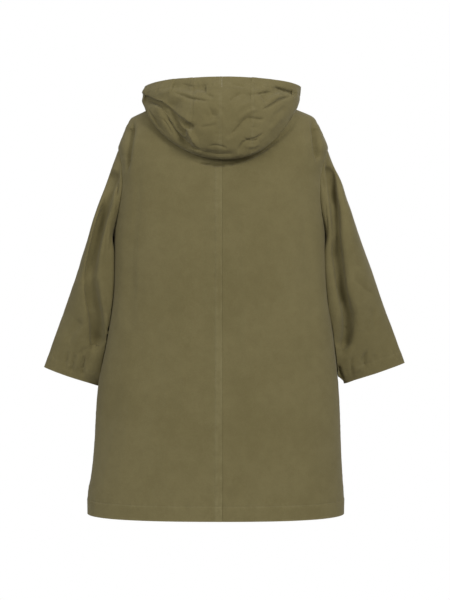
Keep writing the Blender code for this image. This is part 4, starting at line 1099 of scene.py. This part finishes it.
def add_stitches(material):
    for group, parts in STITCHES.items():
        offsets = np.cumsum([0] + [len(points) for points, _ in parts])
        points = np.concatenate([points for points, _ in parts])
        faces = np.concatenate([faces + offset for (_, faces), offset in zip(parts, offsets)])
        obj = add_mesh("stitches_" + group, points, faces, material)
        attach(obj, "root")


# --- The coat's pieces --------------------------------------------------------------------------


def panel_rows():
    """(armhole turn or None, level) of each row of a body panel, from the neck down."""
    above = [(None, NECK_LEVEL + (ARMHOLE_TOP - NECK_LEVEL) * t ** SHOULDER_CROWDING)
             for t in np.linspace(0.0, 1.0, ROWS_ABOVE + 1)[:-1]]
    beside = [(math.pi * t, ARMHOLE_TOP + (ARMHOLE_BOTTOM - ARMHOLE_TOP) * t)
              for t in np.linspace(0.0, 1.0, ROWS_BESIDE + 1)]
    below = np.linspace(ARMHOLE_BOTTOM, HEM_LEVEL, ROWS_BELOW + 1)[1:]
    near_hem = [HEM_LEVEL + HEM_TURN + up for up in NEAR_STITCHES] + [HEM_LEVEL + up for up in NEAR_HEM]
    below = sorted(set(np.round(np.concatenate([below, near_hem]), 5)), reverse=True)
    return above + beside + [(None, level) for level in below]


def panel_grid(side, facing, from_centre):
    """Grids of (angle, level) for a body panel that starts from_centre metres off the centre line."""
    angles, levels = [], []
    u = np.linspace(0.0, 1.0, DENSE)
    for turn, level in panel_rows():
        end_angle, end_level = 0.0, level
        if turn is not None:
            end_angle, end_level = (float(v) for v in armhole_at(np.array(facing * turn)))
        start = angle_at(side, facing, from_centre, level)
        angles.append(start + (end_angle - start) * u)
        levels.append(level + (end_level - level) * smooth_step(u))
    surface = functools.partial(body_point, side)
    return spaced(surface, np.array(angles), np.array(levels), NEAR_CENTRE, NEAR_SIDE,
                  PANEL_COLUMNS[facing])


def angle_at(side, facing, from_centre, level):
    """The angle of a body point that lies from_centre metres off the centre line."""
    level = np.asarray(level, float)
    share = np.abs(from_centre) / body_half(side, level)
    past = np.sign(from_centre) * share ** (body_size(level, "square") / 2)
    return facing * (math.pi / 2 - np.arcsin(past))


def closing_creased(x):
    """The share of the fronts' creases at x metres from the centre line: the closing lies flatter."""
    past = smooth_step((np.abs(x) - CLOSING_HALF) / CLOSING_BLEND)
    return CLOSING_CREASED + (1 - CLOSING_CREASED) * past


def body_seams(side, facing, surface, over):
    """The seams and edges of a body panel: its side, shoulder, hem, armhole and centre."""
    levels = np.linspace(NECK_LEVEL, HEM_LEVEL, 300)
    plain = {"groove": 0.0011, "stitched": (SEAM_STITCH,), "pucker": 0.00045}
    seams = [
        dict(plain, curve=surface(np.zeros(200), np.linspace(ARMHOLE_BOTTOM, HEM_LEVEL, 200))),
        dict(plain, curve=surface(np.zeros(60), np.linspace(NECK_LEVEL, ARMHOLE_TOP, 60))),
        {"curve": surface(np.linspace(0.0, facing * math.pi / 2, 200), np.full(200, HEM_LEVEL)),
         "band": LIFT, "width": HEM_TURN, "stitched": (HEM_TURN,), "pucker": 0.00085,
         "pucker_in": 0.012, "reach": 0.085},
        {"curve": armhole_point(side, facing * np.linspace(0.0, math.pi, 160)), "lift": LIFT,
         "width": ARMHOLE_LAP, "stitched": (ARMHOLE_LAP - STITCH_INSET,)},
    ]
    if facing < 0:
        return seams + [{"curve": surface(angle_at(side, -1, -LAP, levels), levels), "width": 0.0,
                         "stitched": (EDGE_STITCH, PLACKET_STITCH), "pucker": 0.00035, "reach": 0.075}]
    centre = {"curve": surface(angle_at(side, 1, 0.0, levels), levels), "width": CENTRE_LAP,
              "pucker": 0.0007}
    if over:
        centre.update(lift=LIFT, stitched=(CENTRE_LAP - STITCH_INSET,), rubbed=0.50)
    else:
        centre.update(worn=0.2)
    return seams + [centre]


def add_body(material):
    for (name, side), (part, facing) in itertools.product(SIDES.items(), FACINGS.items()):
        node = f"{part}_{name}"
        surface = functools.partial(body_point, side)
        over = name == "left"
        seams = body_seams(side, facing, surface, over)
        starts = {1: 0.0 if over else -UNDER_BACK, -1: -LAP}
        angle, level = panel_grid(side, facing, starts[facing])
        x = surface(angle, level)[..., 0]
        shift = 0.0
        if not over:
            depth, start, blend = UNDERLAPS[facing]
            shift = -depth * smooth_step((start - side * x) / blend)
        creased = closing_creased(x) if facing < 0 else 1.0
        add_cloth(node, surface, angle, level, seams, side, material, shift=shift, creased=creased)
        sew_panel(node, side, facing, surface, seams, over)


def sew_panel(node, side, facing, surface, seams, over):
    """The stitches of a body panel: along its centre, armhole, hem, shoulder and side."""
    def line(angles, levels, shift=0.0):
        sew(node, surface, angles, levels, seams, side, shift)

    levels = np.linspace(NECK_LEVEL - 0.004, HEM_LEVEL + 0.004, 420)
    if facing > 0 and over:
        line(angle_at(side, 1, CENTRE_LAP - STITCH_INSET, levels), levels)
    if facing < 0:
        for away in (EDGE_STITCH, PLACKET_STITCH) if over else (EDGE_STITCH,):
            line(angle_at(side, -1, -LAP + away, levels), levels,
                 0.0 if over else -UNDERLAP_INSET * UNDERLAP_STITCHES)
    turns = facing * np.linspace(0.02, math.pi - 0.02, 260)
    line(*armhole_at(turns, ARMHOLE_LAP - STITCH_INSET))
    from_centre = 0.002 if facing > 0 else (-LAP + 0.002 if over else LAP + 0.045)
    start = float(angle_at(side, facing, from_centre, HEM_LEVEL + HEM_TURN))
    line(np.linspace(start, facing * 0.004, 420), np.full(420, HEM_LEVEL + HEM_TURN))
    if facing > 0:
        for low, high in ((NECK_LEVEL - 0.012, ARMHOLE_TOP + 0.006),
                          (ARMHOLE_BOTTOM - 0.012, HEM_LEVEL + 0.002)):
            levels = np.linspace(low, high, 400)
            share = np.clip(SEAM_STITCH / body_size(levels, "back_y"), 0, 1)
            line(np.arcsin(share ** (body_size(levels, "square") / 2)), levels)


def sleeve_surface(side):
    """The sleeve's form with its back kept full up to where it meets the body."""
    def surface(turn, along):
        point = sleeve_point(side, turn, along)
        s = np.clip(np.sin(turn), 0.0, 1.0)
        inner = smooth_step(-np.cos(turn) / SLEEVE_INNER)
        inner = inner * smooth_step(along / SLEEVE_ENDS[0]) * smooth_step((1 - along) / SLEEVE_ENDS[1])
        point[..., 1] += SLEEVE_FULLER * (s ** SLEEVE_FULL_POWER - s) * inner
        fade_in, fade_out = SLEEVE_PULL_FADES
        pull = SLEEVE_PULL * smooth_step(s / fade_in) * smooth_step((1 - s) / fade_out) * inner
        x = side * point[..., 0]
        beside_body = body_across(side, point[..., 1], point[..., 2]) + SLEEVE_OFF_BODY
        held = larger(x - pull, beside_body, 0.001)
        point[..., 0] = side * np.where(pull > 1e-6, np.minimum(held, x), x)
        return point

    return surface


def length_at(surface, turn):
    """Metres for each unit of along, close to the end of a sleeve or hood."""
    end, before = (surface(turn, np.full_like(turn, along)) for along in (1.0, 0.99))
    return np.linalg.norm(end - before, axis=1) / 0.01


def add_sleeves(material):
    for name, side in SIDES.items():
        node = "sleeve_" + name
        surface = sleeve_surface(side)
        turn = np.linspace(0.0, 2 * math.pi, SLEEVE_TURNS, endpoint=False)
        turns, alongs = np.meshgrid(turn, np.linspace(0.0, 1.0, SLEEVE_LENGTHS + 1))
        ring = np.append(turn, 2 * math.pi)
        seams = [
            {"curve": surface(np.full(200, math.pi), np.linspace(0.03, 1.0, 200)), "groove": 0.0012,
             "worn": 0.5},
            {"curve": surface(ring, np.full_like(ring, 1.0)), "band": LIFT, "width": CUFF_TURN,
             "stitched": (CUFF_TURN,), "pucker": 0.0009, "pucker_in": 0.011, "pucker_out": 0.016,
             "reach": 0.080},
        ]
        tuck = -SLEEVE_SINKS * smooth_step((SLEEVE_SINK_END - alongs) / SLEEVE_SINK_END)
        obj = add_cloth(node, surface, turns, alongs, seams, -side, material, closed=True,
                        shift=tuck, creased=smooth_step(alongs / SLEEVE_CREASES_START))
        if name == "right":
            curl_cuff(obj.data)
        around = np.append(np.linspace(0.0, 2 * math.pi, 240, endpoint=False), 2 * math.pi)
        length = length_at(surface, turn)
        at = 1.0 - CUFF_TURN / np.interp(around, ring, np.append(length, length[0]))
        sew(node, surface, around, at, seams, -side)


def curl_cuff(mesh):
    """Turns the right cuff's inner corner outwards a little, as the photo shows."""
    x, z = CUFF_CORNERS["right"]["inner"]
    points = read_points(mesh)
    away = np.linalg.norm((points - (-x, CURL_Y, z)) * CURL_SHAPE, axis=1)
    write_points(mesh, points + smooth_step(1 - away / CURL_REACH)[:, None] * CURL)


def hood_surface(side):
    """The hood's form with its lower fold a little off the back, further off on the right."""
    def surface(turn, along):
        point = hood_point(side, turn, along)
        loop = along * (len(HOOD_LOOPS) - 1)
        near_fold = bell(loop - HOOD_FOLD_LOOP, HOOD_OFF_LOOPS)
        near_fold = near_fold * smooth_step((HOOD_OFF_TURN - turn) / HOOD_OFF_BLEND)
        on_left, on_right = HOOD_STANDS_OFF
        share = smooth_step(0.5 - point[..., 0] / HOOD_OFF_SPAN)
        point[..., 1] += (on_left + (on_right - on_left) * share) * near_fold
        on_left, on_right = HOOD_RISES
        share = smooth_step((point[..., 0] - HOOD_RISE_START) / HOOD_OFF_SPAN)
        point[..., 2] += (on_right + (on_left - on_right) * share) * near_fold
        return point

    return surface


def hood_front_end(along):
    """The turn at which the hood's side panel ends, close to the centre front."""
    return math.pi - (2 * SEAM_GAP / HOOD_LOOPS[0][0]) ** (1 / hood_size(along, "point"))


def add_hood(material):
    last = len(HOOD_LOOPS) - 1
    fold = (HOOD_FOLD_LOOP - 0.5) / last
    along = np.concatenate([np.linspace(0.0, fold, HOOD_LENGTHS[0] + 1)[:-1],
                            np.linspace(fold, 1.0, HOOD_LENGTHS[1] + 1)])
    fine = np.linspace(0.0, 1.0, 260)
    for name, side in SIDES.items():
        surface = hood_surface(side)
        over = name == "left"
        rim_end = float(hood_front_end(np.array([1.0]))[0])
        rim_turns = np.linspace(0.0, rim_end, 300)
        rim = {"curve": surface(rim_turns, np.full_like(rim_turns, 1.0)), "band": LIFT,
               "width": RIM_CASING, "stitched": (RIM_CASING,), "pucker": 0.0008, "pucker_in": 0.010}
        middle = {"curve": surface(np.zeros_like(fine), fine), "pucker": 0.0007,
                  "stitched": (HOOD_LAP - STITCH_INSET,) if over else (), "worn": 0.5 if over else 0.1}
        under = {"curve": surface(hood_turn_at(fine, hood_seam_x(fine)), fine), "worn": 0.1}
        joining = dict(under, lift=0.0003, width=HOOD_LAP, stitched=(HOOD_LAP - STITCH_INSET,),
                       pucker=0.0007, worn=0.3)
        front = {"curve": surface(hood_front_end(fine), fine), "groove": 0.0006,
                 "stitched": (0.006,), "pucker": 0.0004}
        seam_x = hood_seam_x(along)
        panels = {
            "centre": (np.full_like(along, 0.0002), hood_turn_at(along, seam_x + HOOD_UNDERLAP),
                       HOOD_CENTRE_TURNS, 0.0, [rim, middle, under]),
            "side": (hood_turn_at(along, seam_x), hood_front_end(along), HOOD_SIDE_TURNS,
                     HOOD_CROWDING, [rim, joining, front]),
        }
        for panel, (start, end, columns, crowding, seams) in panels.items():
            u = np.linspace(0.0, 1.0, columns + 1)
            u = (1 - crowding) * u + crowding * u ** 6
            turn = start[:, None] + (end - start)[:, None] * u
            grid = np.repeat(along[:, None], columns + 1, axis=1)
            shift = 0.0
            if panel == "centre":
                past_seam = side * surface(turn, grid)[..., 0] - hood_seam_x(grid)
                shift = -HOOD_UNDER_SINKS * smooth_step(past_seam / HOOD_UNDER_BLEND + 1)
            outer_layer = smooth_step((grid * last - HOOD_FOLD_LOOP + 0.2) / 1.2)
            creased = HOOD_INSIDE_CREASED + (1 - HOOD_INSIDE_CREASED) * np.where(
                np.cos(turn) > -0.1, outer_layer, 1.0)
            add_cloth(f"hood_{panel}_{name}", surface, turn, grid, seams, -side, material,
                      shift=shift, creased=creased)
        sew_hood(name, surface, {panel: row[-1] for panel, row in panels.items()}, rim_turns)


def sew_hood(name, surface, seams, rim_turns):
    """The hood's stitches: beside both its seams and along its casing."""
    def line(panel, turns, at):
        sew(f"hood_{panel}_{name}", surface, turns, at, seams[panel], -SIDES[name],
            group="hood_" + name)

    at = np.linspace(0.02, 0.992, 400)
    line("side", hood_turn_at(at, hood_seam_x(at) + HOOD_LAP - STITCH_INSET), at)
    if name == "left":
        line("centre", hood_turn_at(at, HOOD_LAP - STITCH_INSET), at)
    rim_length = length_at(surface, rim_turns)
    seam_turn = float(hood_turn_at(0.95, hood_seam_x(0.95)))
    for panel, low, high in (("centre", 0.003, seam_turn - 0.004),
                             ("side", seam_turn + 0.004, float(rim_turns[-1]) - 0.01)):
        turns = np.linspace(low, high, 300)
        line(panel, turns, 1.0 - RIM_CASING / np.interp(turns, rim_turns, rim_length))


# --- Buttons ------------------------------------------------------------------------------------


def button_frame(level):
    """(place, up, out) of a button, as the model places it."""
    centre, above, below = (body_point(1, np.array(-math.pi / 2), np.array(level + step))
                            for step in (0.0, 0.01, -0.01))
    up = unit(above - below)
    out = np.cross(ACROSS, up)
    return centre + out * BUTTON_CLEARANCE, up, out


def mesh_from(name, form):
    data = bpy.data.meshes.new(name)
    form.to_mesh(data)
    form.free()
    return add_object(name, data)


def button_form():
    """A button about +Z, with its back at z = 0, before its holes are cut."""
    inner, low, high = BUTTON_RADIUS - BUTTON_RIM, BUTTON_THICKNESS - BUTTON_DISH, BUTTON_THICKNESS
    profile = (
        (BUTTON_RADIUS * 0.80, 0.0), (BUTTON_RADIUS * 0.93, 0.0004), (BUTTON_RADIUS, 0.0014),
        (BUTTON_RADIUS, high - 0.0012), (BUTTON_RADIUS - 0.0003, high - 0.0005),
        (BUTTON_RADIUS - 0.0009, high), (inner + 0.0008, high), (inner + 0.0002, high - 0.0003),
        (inner - 0.0004, low + 0.0001), (inner - 0.0012, low),
    )
    turns = [2 * math.pi * k / BUTTON_SEGMENTS for k in range(BUTTON_SEGMENTS)]
    form = bmesh.new()
    rings = [[form.verts.new((radius * math.cos(turn), radius * math.sin(turn), height))
              for turn in turns] for radius, height in profile]
    for one, two in zip(rings[:-1], rings[1:]):
        for k in range(BUTTON_SEGMENTS):
            d = (k + 1) % BUTTON_SEGMENTS
            form.faces.new((one[k], one[d], two[d], two[k]))
    form.faces.new(list(reversed(rings[0])))
    form.faces.new(rings[-1])
    return mesh_from("button_form", form)


def hole_form():
    """The four pins that cut a button's holes."""
    form = bmesh.new()
    for sx, sy in HOLE_SIGNS:
        made = bmesh.ops.create_cone(form, cap_ends=True, segments=16, radius1=HOLE_RADIUS,
                                     radius2=HOLE_RADIUS, depth=0.02)
        for vert in made["verts"]:
            vert.co.x += sx * HOLE_OFFSET
            vert.co.y += sy * HOLE_OFFSET
    return mesh_from("button_holes", form)


def add_buttons(plastic):
    whole, holes = button_form(), hole_form()
    cut = whole.modifiers.new("holes", "BOOLEAN")
    cut.object, cut.operation, cut.solver = holes, "DIFFERENCE", "EXACT"
    bpy.context.view_layer.update()
    evaluated = whole.evaluated_get(bpy.context.evaluated_depsgraph_get())
    form = bpy.data.meshes.new_from_object(evaluated)
    for obj in (whole, holes):
        bpy.data.objects.remove(obj)
    points = read_points(form)
    for number, level in enumerate(BUTTON_LEVELS, start=1):
        node = f"button_{number}"
        place, up, out = button_frame(level)
        mesh = form.copy()
        write_points(mesh, place + points @ np.array([ACROSS, up, out]))
        mesh.materials.clear()
        mesh.materials.append(plastic)
        mesh.shade_smooth()
        mesh.name = "dressed_" + node
        mesh.set_sharp_from_angle(angle=BUTTON_SHARP)
        obj = add_object("dressed_" + node, mesh)
        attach(obj, "root")
        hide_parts(node)
        sew_button(node, place, up, out)
        work_buttonhole(node, level)
    bpy.data.meshes.remove(form)


def sew_button(node, place, up, out):
    """Two pairs of threads through a button's holes, and its shank down to the under front."""
    top = BUTTON_THICKNESS - BUTTON_DISH + 0.0002
    reach = ACROSS * (HOLE_OFFSET + 0.0004)
    rods = []
    for sign, strand in itertools.product((-1, 1), STRANDS):
        centre = place + up * (sign * HOLE_OFFSET + strand) + out * (top - 0.0006)
        rods.append((centre - reach, centre + reach, up, out))
    for (sx, sy), strand in itertools.product(HOLE_SIGNS, STRANDS):
        foot = place + ACROSS * sx * HOLE_OFFSET + up * (sy * HOLE_OFFSET + strand)
        rods.append((foot + out * (top - 0.0003), foot - out * 0.0022, up, ACROSS * sx))
    add_rods(node, rods, BUTTON_THREAD_RADIUS)


def work_buttonhole(node, level):
    """Short stitches set square to a slot across the front, with a bar at each end. The button
    covers its inner half."""
    slot = np.linspace(-BUTTONHOLE_INNER, BUTTONHOLE_LENGTH - BUTTONHOLE_INNER, BUTTONHOLE_STITCHES)
    rods = []
    for sign, x in itertools.product((-1, 1), slot):
        base, out, up = front_spot(x, level)
        rods.append((base + up * sign * 0.0004 + out * 0.0002,
                     base + up * sign * BUTTONHOLE_BITE + out * 0.0001, np.cross(up, out), out))
    for x, step in itertools.product((slot[0] - BAR_STEP, slot[-1] + BAR_STEP), range(2)):
        base, out, up = front_spot(x, level)
        bar = base + ACROSS * BAR_STEP * step * np.sign(x) + out * 0.0002
        rods.append((bar - up * BUTTONHOLE_BITE, bar + up * BUTTONHOLE_BITE, np.cross(up, out), out))
    add_rods(node, rods, BUTTONHOLE_THREAD_RADIUS)


def front_spot(x, level):
    """(place, out, up) on the left front at x metres from the centre line."""
    surface, level = functools.partial(body_point, 1), np.array([level])
    angle = angle_at(1, -1, x, level)
    base, out = surface(angle, level), outward(surface, angle, level)
    lift, band, _ = dressed("front_left", base, out, [], closing_creased(base[..., 0]))
    base = base + out * (lift + band)[..., None]
    return base[0], out[0], unit(np.cross(out[0], ACROSS))


# --- Materials ----------------------------------------------------------------------------------


def linear(red, green, blue):
    """A colour given as screen values from 0 to 255."""
    def one(v):
        v /= 255
        return v / 12.92 if v <= 0.04045 else ((v + 0.055) / 1.055) ** 2.4

    return (one(red), one(green), one(blue), 1.0)


CLOTH_DEEP = linear(112, 103, 67)
CLOTH_MID = linear(118, 109, 73)
CLOTH_FADED = linear(124, 115, 79)
CLOTH_WORN = linear(142, 134, 98)
WEAVE_SHADOW = (0.62, 0.60, 0.52, 1.0)
THREAD_PITCH = 0.00075
THREAD_DEEP, THREAD = linear(108, 100, 68), linear(121, 113, 80)
RESIN_DARK, RESIN_PALE, RESIN_CLOUD = linear(54, 42, 28), linear(96, 76, 50), linear(38, 30, 22)
FLOOR_DARK, FLOOR_PALE = (0.80, 0.80, 0.79, 1.0), (0.86, 0.86, 0.85, 1.0)


def new_material(name):
    """(material, tree, shader, object coordinates) of a new material made of nodes."""
    material = bpy.data.materials.new(name)
    material.use_nodes = True
    tree = material.node_tree
    place = tree.nodes.new("ShaderNodeTexCoord").outputs["Object"]
    return material, tree, tree.nodes["Principled BSDF"], place


def feed(tree, socket, value):
    """Links a socket to another node's output, or sets it to a number or colour."""
    if hasattr(value, "links"):
        tree.links.new(value, socket)
    else:
        socket.default_value = value


def math_node(tree, operation, *values):
    node = tree.nodes.new("ShaderNodeMath")
    node.operation = operation
    for socket, value in zip(node.inputs, values):
        feed(tree, socket, value)
    return node.outputs[0]


def mix_colour(tree, blend, factor, one, two):
    node = tree.nodes.new("ShaderNodeMix")
    node.data_type, node.blend_type = "RGBA", blend
    for index, value in ((0, factor), (6, one), (7, two)):
        feed(tree, node.inputs[index], value)
    return node.outputs[2]


def noise_node(tree, vector, scale, detail, roughness=0.5):
    node = tree.nodes.new("ShaderNodeTexNoise")
    for key, value in (("Vector", vector), ("Scale", scale), ("Detail", detail),
                       ("Roughness", roughness)):
        feed(tree, node.inputs[key], value)
    return node.outputs["Fac"]


def ramp(tree, value, low, high, out_low=0.0, out_high=1.0):
    node = tree.nodes.new("ShaderNodeMapRange")
    node.interpolation_type = "SMOOTHSTEP"
    for key, number in (("Value", value), ("From Min", low), ("From Max", high),
                        ("To Min", out_low), ("To Max", out_high)):
        feed(tree, node.inputs[key], number)
    return node.outputs["Result"]


def stretched(tree, vector, scale):
    node = tree.nodes.new("ShaderNodeMapping")
    node.inputs["Scale"].default_value = scale
    tree.links.new(vector, node.inputs["Vector"])
    return node.outputs["Vector"]


def thread_wave(tree, vector, direction, pitch):
    """Parallel rounded threads at that pitch in metres."""
    node = tree.nodes.new("ShaderNodeTexWave")
    node.wave_type, node.bands_direction, node.wave_profile = "BANDS", direction, "SIN"
    for key, value in (("Vector", vector), ("Scale", 2 * math.pi / (20 * pitch)), ("Distortion", 0.35),
                       ("Detail", 1.0), ("Detail Scale", 0.12)):
        feed(tree, node.inputs[key], value)
    return node.outputs["Fac"]


def bump(tree, height, strength, distance, under=None):
    """A bump of that height, on top of the one under it."""
    node = tree.nodes.new("ShaderNodeBump")
    node.inputs["Strength"].default_value = strength
    node.inputs["Distance"].default_value = distance
    tree.links.new(height, node.inputs["Height"])
    if under is not None:
        tree.links.new(under, node.inputs["Normal"])
    return node.outputs["Normal"]


def cloth_material():
    """Plain weave with slubs, clouded by its garment dye and paler where a seam is rubbed."""
    material, tree, shader, place = new_material("olive_cotton")
    cut = tree.nodes.new("ShaderNodeUVMap")
    cut.uv_map = "cut"
    cut = cut.outputs["UV"]
    worn = tree.nodes.new("ShaderNodeAttribute")
    worn.attribute_name = "wear"

    clouds = noise_node(tree, place, 7.0, 4.0, 0.55)
    mottle = noise_node(tree, place, 42.0, 4.0, 0.6)
    speckle = noise_node(tree, place, 320.0, 2.0, 0.6)
    warp_slub = noise_node(tree, stretched(tree, cut, (900.0, 26.0, 1.0)), 1.0, 2.0)
    weft_slub = noise_node(tree, stretched(tree, cut, (26.0, 900.0, 1.0)), 1.0, 2.0)
    warp = thread_wave(tree, cut, "X", THREAD_PITCH)
    weft = thread_wave(tree, cut, "Y", THREAD_PITCH)
    weave = math_node(tree, "MULTIPLY", warp, weft)

    shade = math_node(tree, "ADD", ramp(tree, clouds, 0.30, 0.70, 0.0, 0.30),
                      ramp(tree, mottle, 0.25, 0.75, 0.0, 0.26))
    shade = math_node(tree, "ADD", shade, ramp(tree, speckle, 0.30, 0.70, 0.0, 0.20))
    colour = mix_colour(tree, "MIX", ramp(tree, shade, 0.0, 0.76), CLOTH_DEEP, CLOTH_FADED)
    slubs = math_node(tree, "ADD", ramp(tree, warp_slub, 0.35, 0.75, 0.0, 0.5),
                      ramp(tree, weft_slub, 0.35, 0.75, 0.0, 0.5))
    colour = mix_colour(tree, "MIX", math_node(tree, "MULTIPLY", slubs, 0.30), colour, CLOTH_MID)
    rubbed = math_node(tree, "MULTIPLY", worn.outputs["Fac"], ramp(tree, mottle, 0.30, 0.62, 0.35, 1.0))
    colour = mix_colour(tree, "MIX", math_node(tree, "MULTIPLY", rubbed, 0.55), colour, CLOTH_WORN)
    colour = mix_colour(tree, "MULTIPLY", ramp(tree, weave, 0.0, 0.5, 0.22, 0.0), colour, WEAVE_SHADOW)
    tree.links.new(colour, shader.inputs["Base Color"])
    tree.links.new(ramp(tree, mottle, 0.2, 0.8, 0.80, 0.93), shader.inputs["Roughness"])
    shader.inputs["Metallic"].default_value = 0.0
    shader.inputs["Specular IOR Level"].default_value = 0.22
    shader.inputs["Sheen Weight"].default_value = 0.10
    shader.inputs["Sheen Roughness"].default_value = 0.55

    crumple = bump(tree, noise_node(tree, place, 95.0, 3.0, 0.55), 0.55, 0.0011)
    threads = math_node(tree, "ADD", math_node(tree, "MAXIMUM", warp, weft),
                        math_node(tree, "MULTIPLY", speckle, 0.8))
    tree.links.new(bump(tree, threads, 0.55, 0.00018, crumple), shader.inputs["Normal"])
    return material


def thread_material():
    material, tree, shader, place = new_material("olive_thread")
    fuzz = noise_node(tree, place, 900.0, 2.0)
    colour = mix_colour(tree, "MIX", ramp(tree, fuzz, 0.3, 0.7), THREAD_DEEP, THREAD)
    tree.links.new(colour, shader.inputs["Base Color"])
    tree.links.new(ramp(tree, fuzz, 0.3, 0.7, 0.62, 0.80), shader.inputs["Roughness"])
    shader.inputs["Sheen Weight"].default_value = 0.15
    tree.links.new(bump(tree, fuzz, 0.5, 0.0001), shader.inputs["Normal"])
    return material


def plastic_material():
    material, tree, shader, place = new_material("button_resin")
    swirl = noise_node(tree, stretched(tree, place, (60.0, 60.0, 190.0)), 1.0, 4.0, 0.6)
    cloud = noise_node(tree, place, 160.0, 3.0)
    colour = mix_colour(tree, "MIX", ramp(tree, swirl, 0.38, 0.66), RESIN_DARK, RESIN_PALE)
    colour = mix_colour(tree, "MIX", ramp(tree, cloud, 0.45, 0.75, 0.0, 0.5), colour, RESIN_CLOUD)
    tree.links.new(colour, shader.inputs["Base Color"])
    tree.links.new(ramp(tree, cloud, 0.3, 0.7, 0.30, 0.44), shader.inputs["Roughness"])
    shader.inputs["Coat Weight"].default_value = 0.15
    shader.inputs["Coat Roughness"].default_value = 0.25
    tree.links.new(bump(tree, cloud, 0.2, 0.0002), shader.inputs["Normal"])
    return material


def floor_material():
    material, tree, shader, place = new_material("pale_floor")
    colour = mix_colour(tree, "MIX", noise_node(tree, place, 3.0, 3.0), FLOOR_DARK, FLOOR_PALE)
    tree.links.new(colour, shader.inputs["Base Color"])
    shader.inputs["Roughness"].default_value = 0.8
    return material


# --- Camera, light and floor --------------------------------------------------------------------

# Far enough below the hem to stay out of the photo's view
FLOOR_LEVEL, FLOOR_RADIUS, FLOOR_SIDES = -1.45, 0.86, 96
DOME_STRENGTH, BACKDROP_STRENGTH = 0.44, 1.0
DOME_BELOW, DOME_ABOVE = (0.30, 0.30, 0.29, 1.0), (1.30, 1.29, 1.27, 1.0)
WHITE, WARM = (1.0, 1.0, 1.0), (1.0, 0.99, 0.965)
# name, place, what it points at, size in metres, watts, colour
LIGHTS = (
    ("key", (-1.65, 2.5, 0.92), (0.0, 0.05, -0.56), 1.1, 52.0, WARM),
    ("fill", (2.1, 2.1, 0.45), (0.0, 0.05, -0.60), 1.2, 25.0, WHITE),
    ("front_key", (-1.2, -2.5, 0.9), (0.0, 0.0, -0.45), 1.3, 26.0, WARM),
)


def add_camera():
    """Looks square at the coat's back, from the photo's place."""
    camera = bpy.data.cameras.new("camera")
    camera.sensor_fit = "VERTICAL"
    camera.sensor_height = SENSOR_HEIGHT
    camera.lens = CAMERA_LENS
    camera.clip_start, camera.clip_end = 0.05, 50.0
    obj = add_object("camera", camera)
    obj.location = CAMERA_PLACE
    obj.rotation_euler = (math.pi / 2, 0.0, math.pi)
    bpy.context.scene.camera = obj


def add_area_light(name, place, target, size, watts, colour):
    light = bpy.data.lights.new(name, "AREA")
    light.shape, light.size, light.energy, light.color = "DISK", size, watts, colour
    obj = add_object(name, light)
    obj.location = place
    toward = np.subtract(target, place)
    yaw = math.atan2(toward[1], toward[0]) - math.pi / 2
    pitch = math.atan2(math.hypot(toward[0], toward[1]), -toward[2])
    obj.rotation_euler = (pitch, 0.0, yaw)


def add_floor():
    turns = [2 * math.pi * k / FLOOR_SIDES for k in range(FLOOR_SIDES)]
    points = [(0.0, 0.0, FLOOR_LEVEL)]
    points += [(FLOOR_RADIUS * math.cos(turn), FLOOR_RADIUS * math.sin(turn), FLOOR_LEVEL)
               for turn in turns]
    mesh = bpy.data.meshes.new("floor")
    mesh.from_pydata(points, [], [(0, 1 + k, 1 + (k + 1) % FLOOR_SIDES) for k in range(FLOOR_SIDES)])
    mesh.materials.append(floor_material())
    add_object("floor", mesh)


def add_world():
    """A soft dome of light, paler above, in front of a plain white backdrop."""
    world = bpy.data.worlds.new("studio")
    world.use_nodes = True
    tree = world.node_tree
    tree.nodes.clear()
    out, mix, path, dome, plain, ray, height = (
        tree.nodes.new("ShaderNode" + kind)
        for kind in ("OutputWorld", "MixShader", "LightPath", "Background", "Background", "TexCoord",
                     "SeparateXYZ"))
    tree.links.new(ray.outputs["Generated"], height.inputs[0])
    sky = ramp(tree, height.outputs["Z"], -0.6, 0.8)
    tree.links.new(mix_colour(tree, "MIX", sky, DOME_BELOW, DOME_ABOVE), dome.inputs["Color"])
    dome.inputs["Strength"].default_value = DOME_STRENGTH
    plain.inputs["Color"].default_value = (*WHITE, 1.0)
    plain.inputs["Strength"].default_value = BACKDROP_STRENGTH
    tree.links.new(path.outputs["Is Camera Ray"], mix.inputs["Fac"])
    tree.links.new(dome.outputs[0], mix.inputs[1])
    tree.links.new(plain.outputs[0], mix.inputs[2])
    tree.links.new(mix.outputs[0], out.inputs["Surface"])
    bpy.context.scene.world = world


def main():
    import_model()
    for obj in list(bpy.data.objects):
        if obj.type in ("LIGHT", "CAMERA"):
            bpy.data.objects.remove(obj)
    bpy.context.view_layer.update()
    add_camera()
    cloth, thread, plastic = cloth_material(), thread_material(), plastic_material()
    add_body(cloth)
    add_sleeves(cloth)
    add_hood(cloth)
    add_buttons(plastic)
    add_stitches(thread)
    add_floor()
    add_world()
    for light in LIGHTS:
        add_area_light(*light)
    bpy.context.scene.view_settings.view_transform = "Standard"
    bpy.context.view_layer.update()


main()
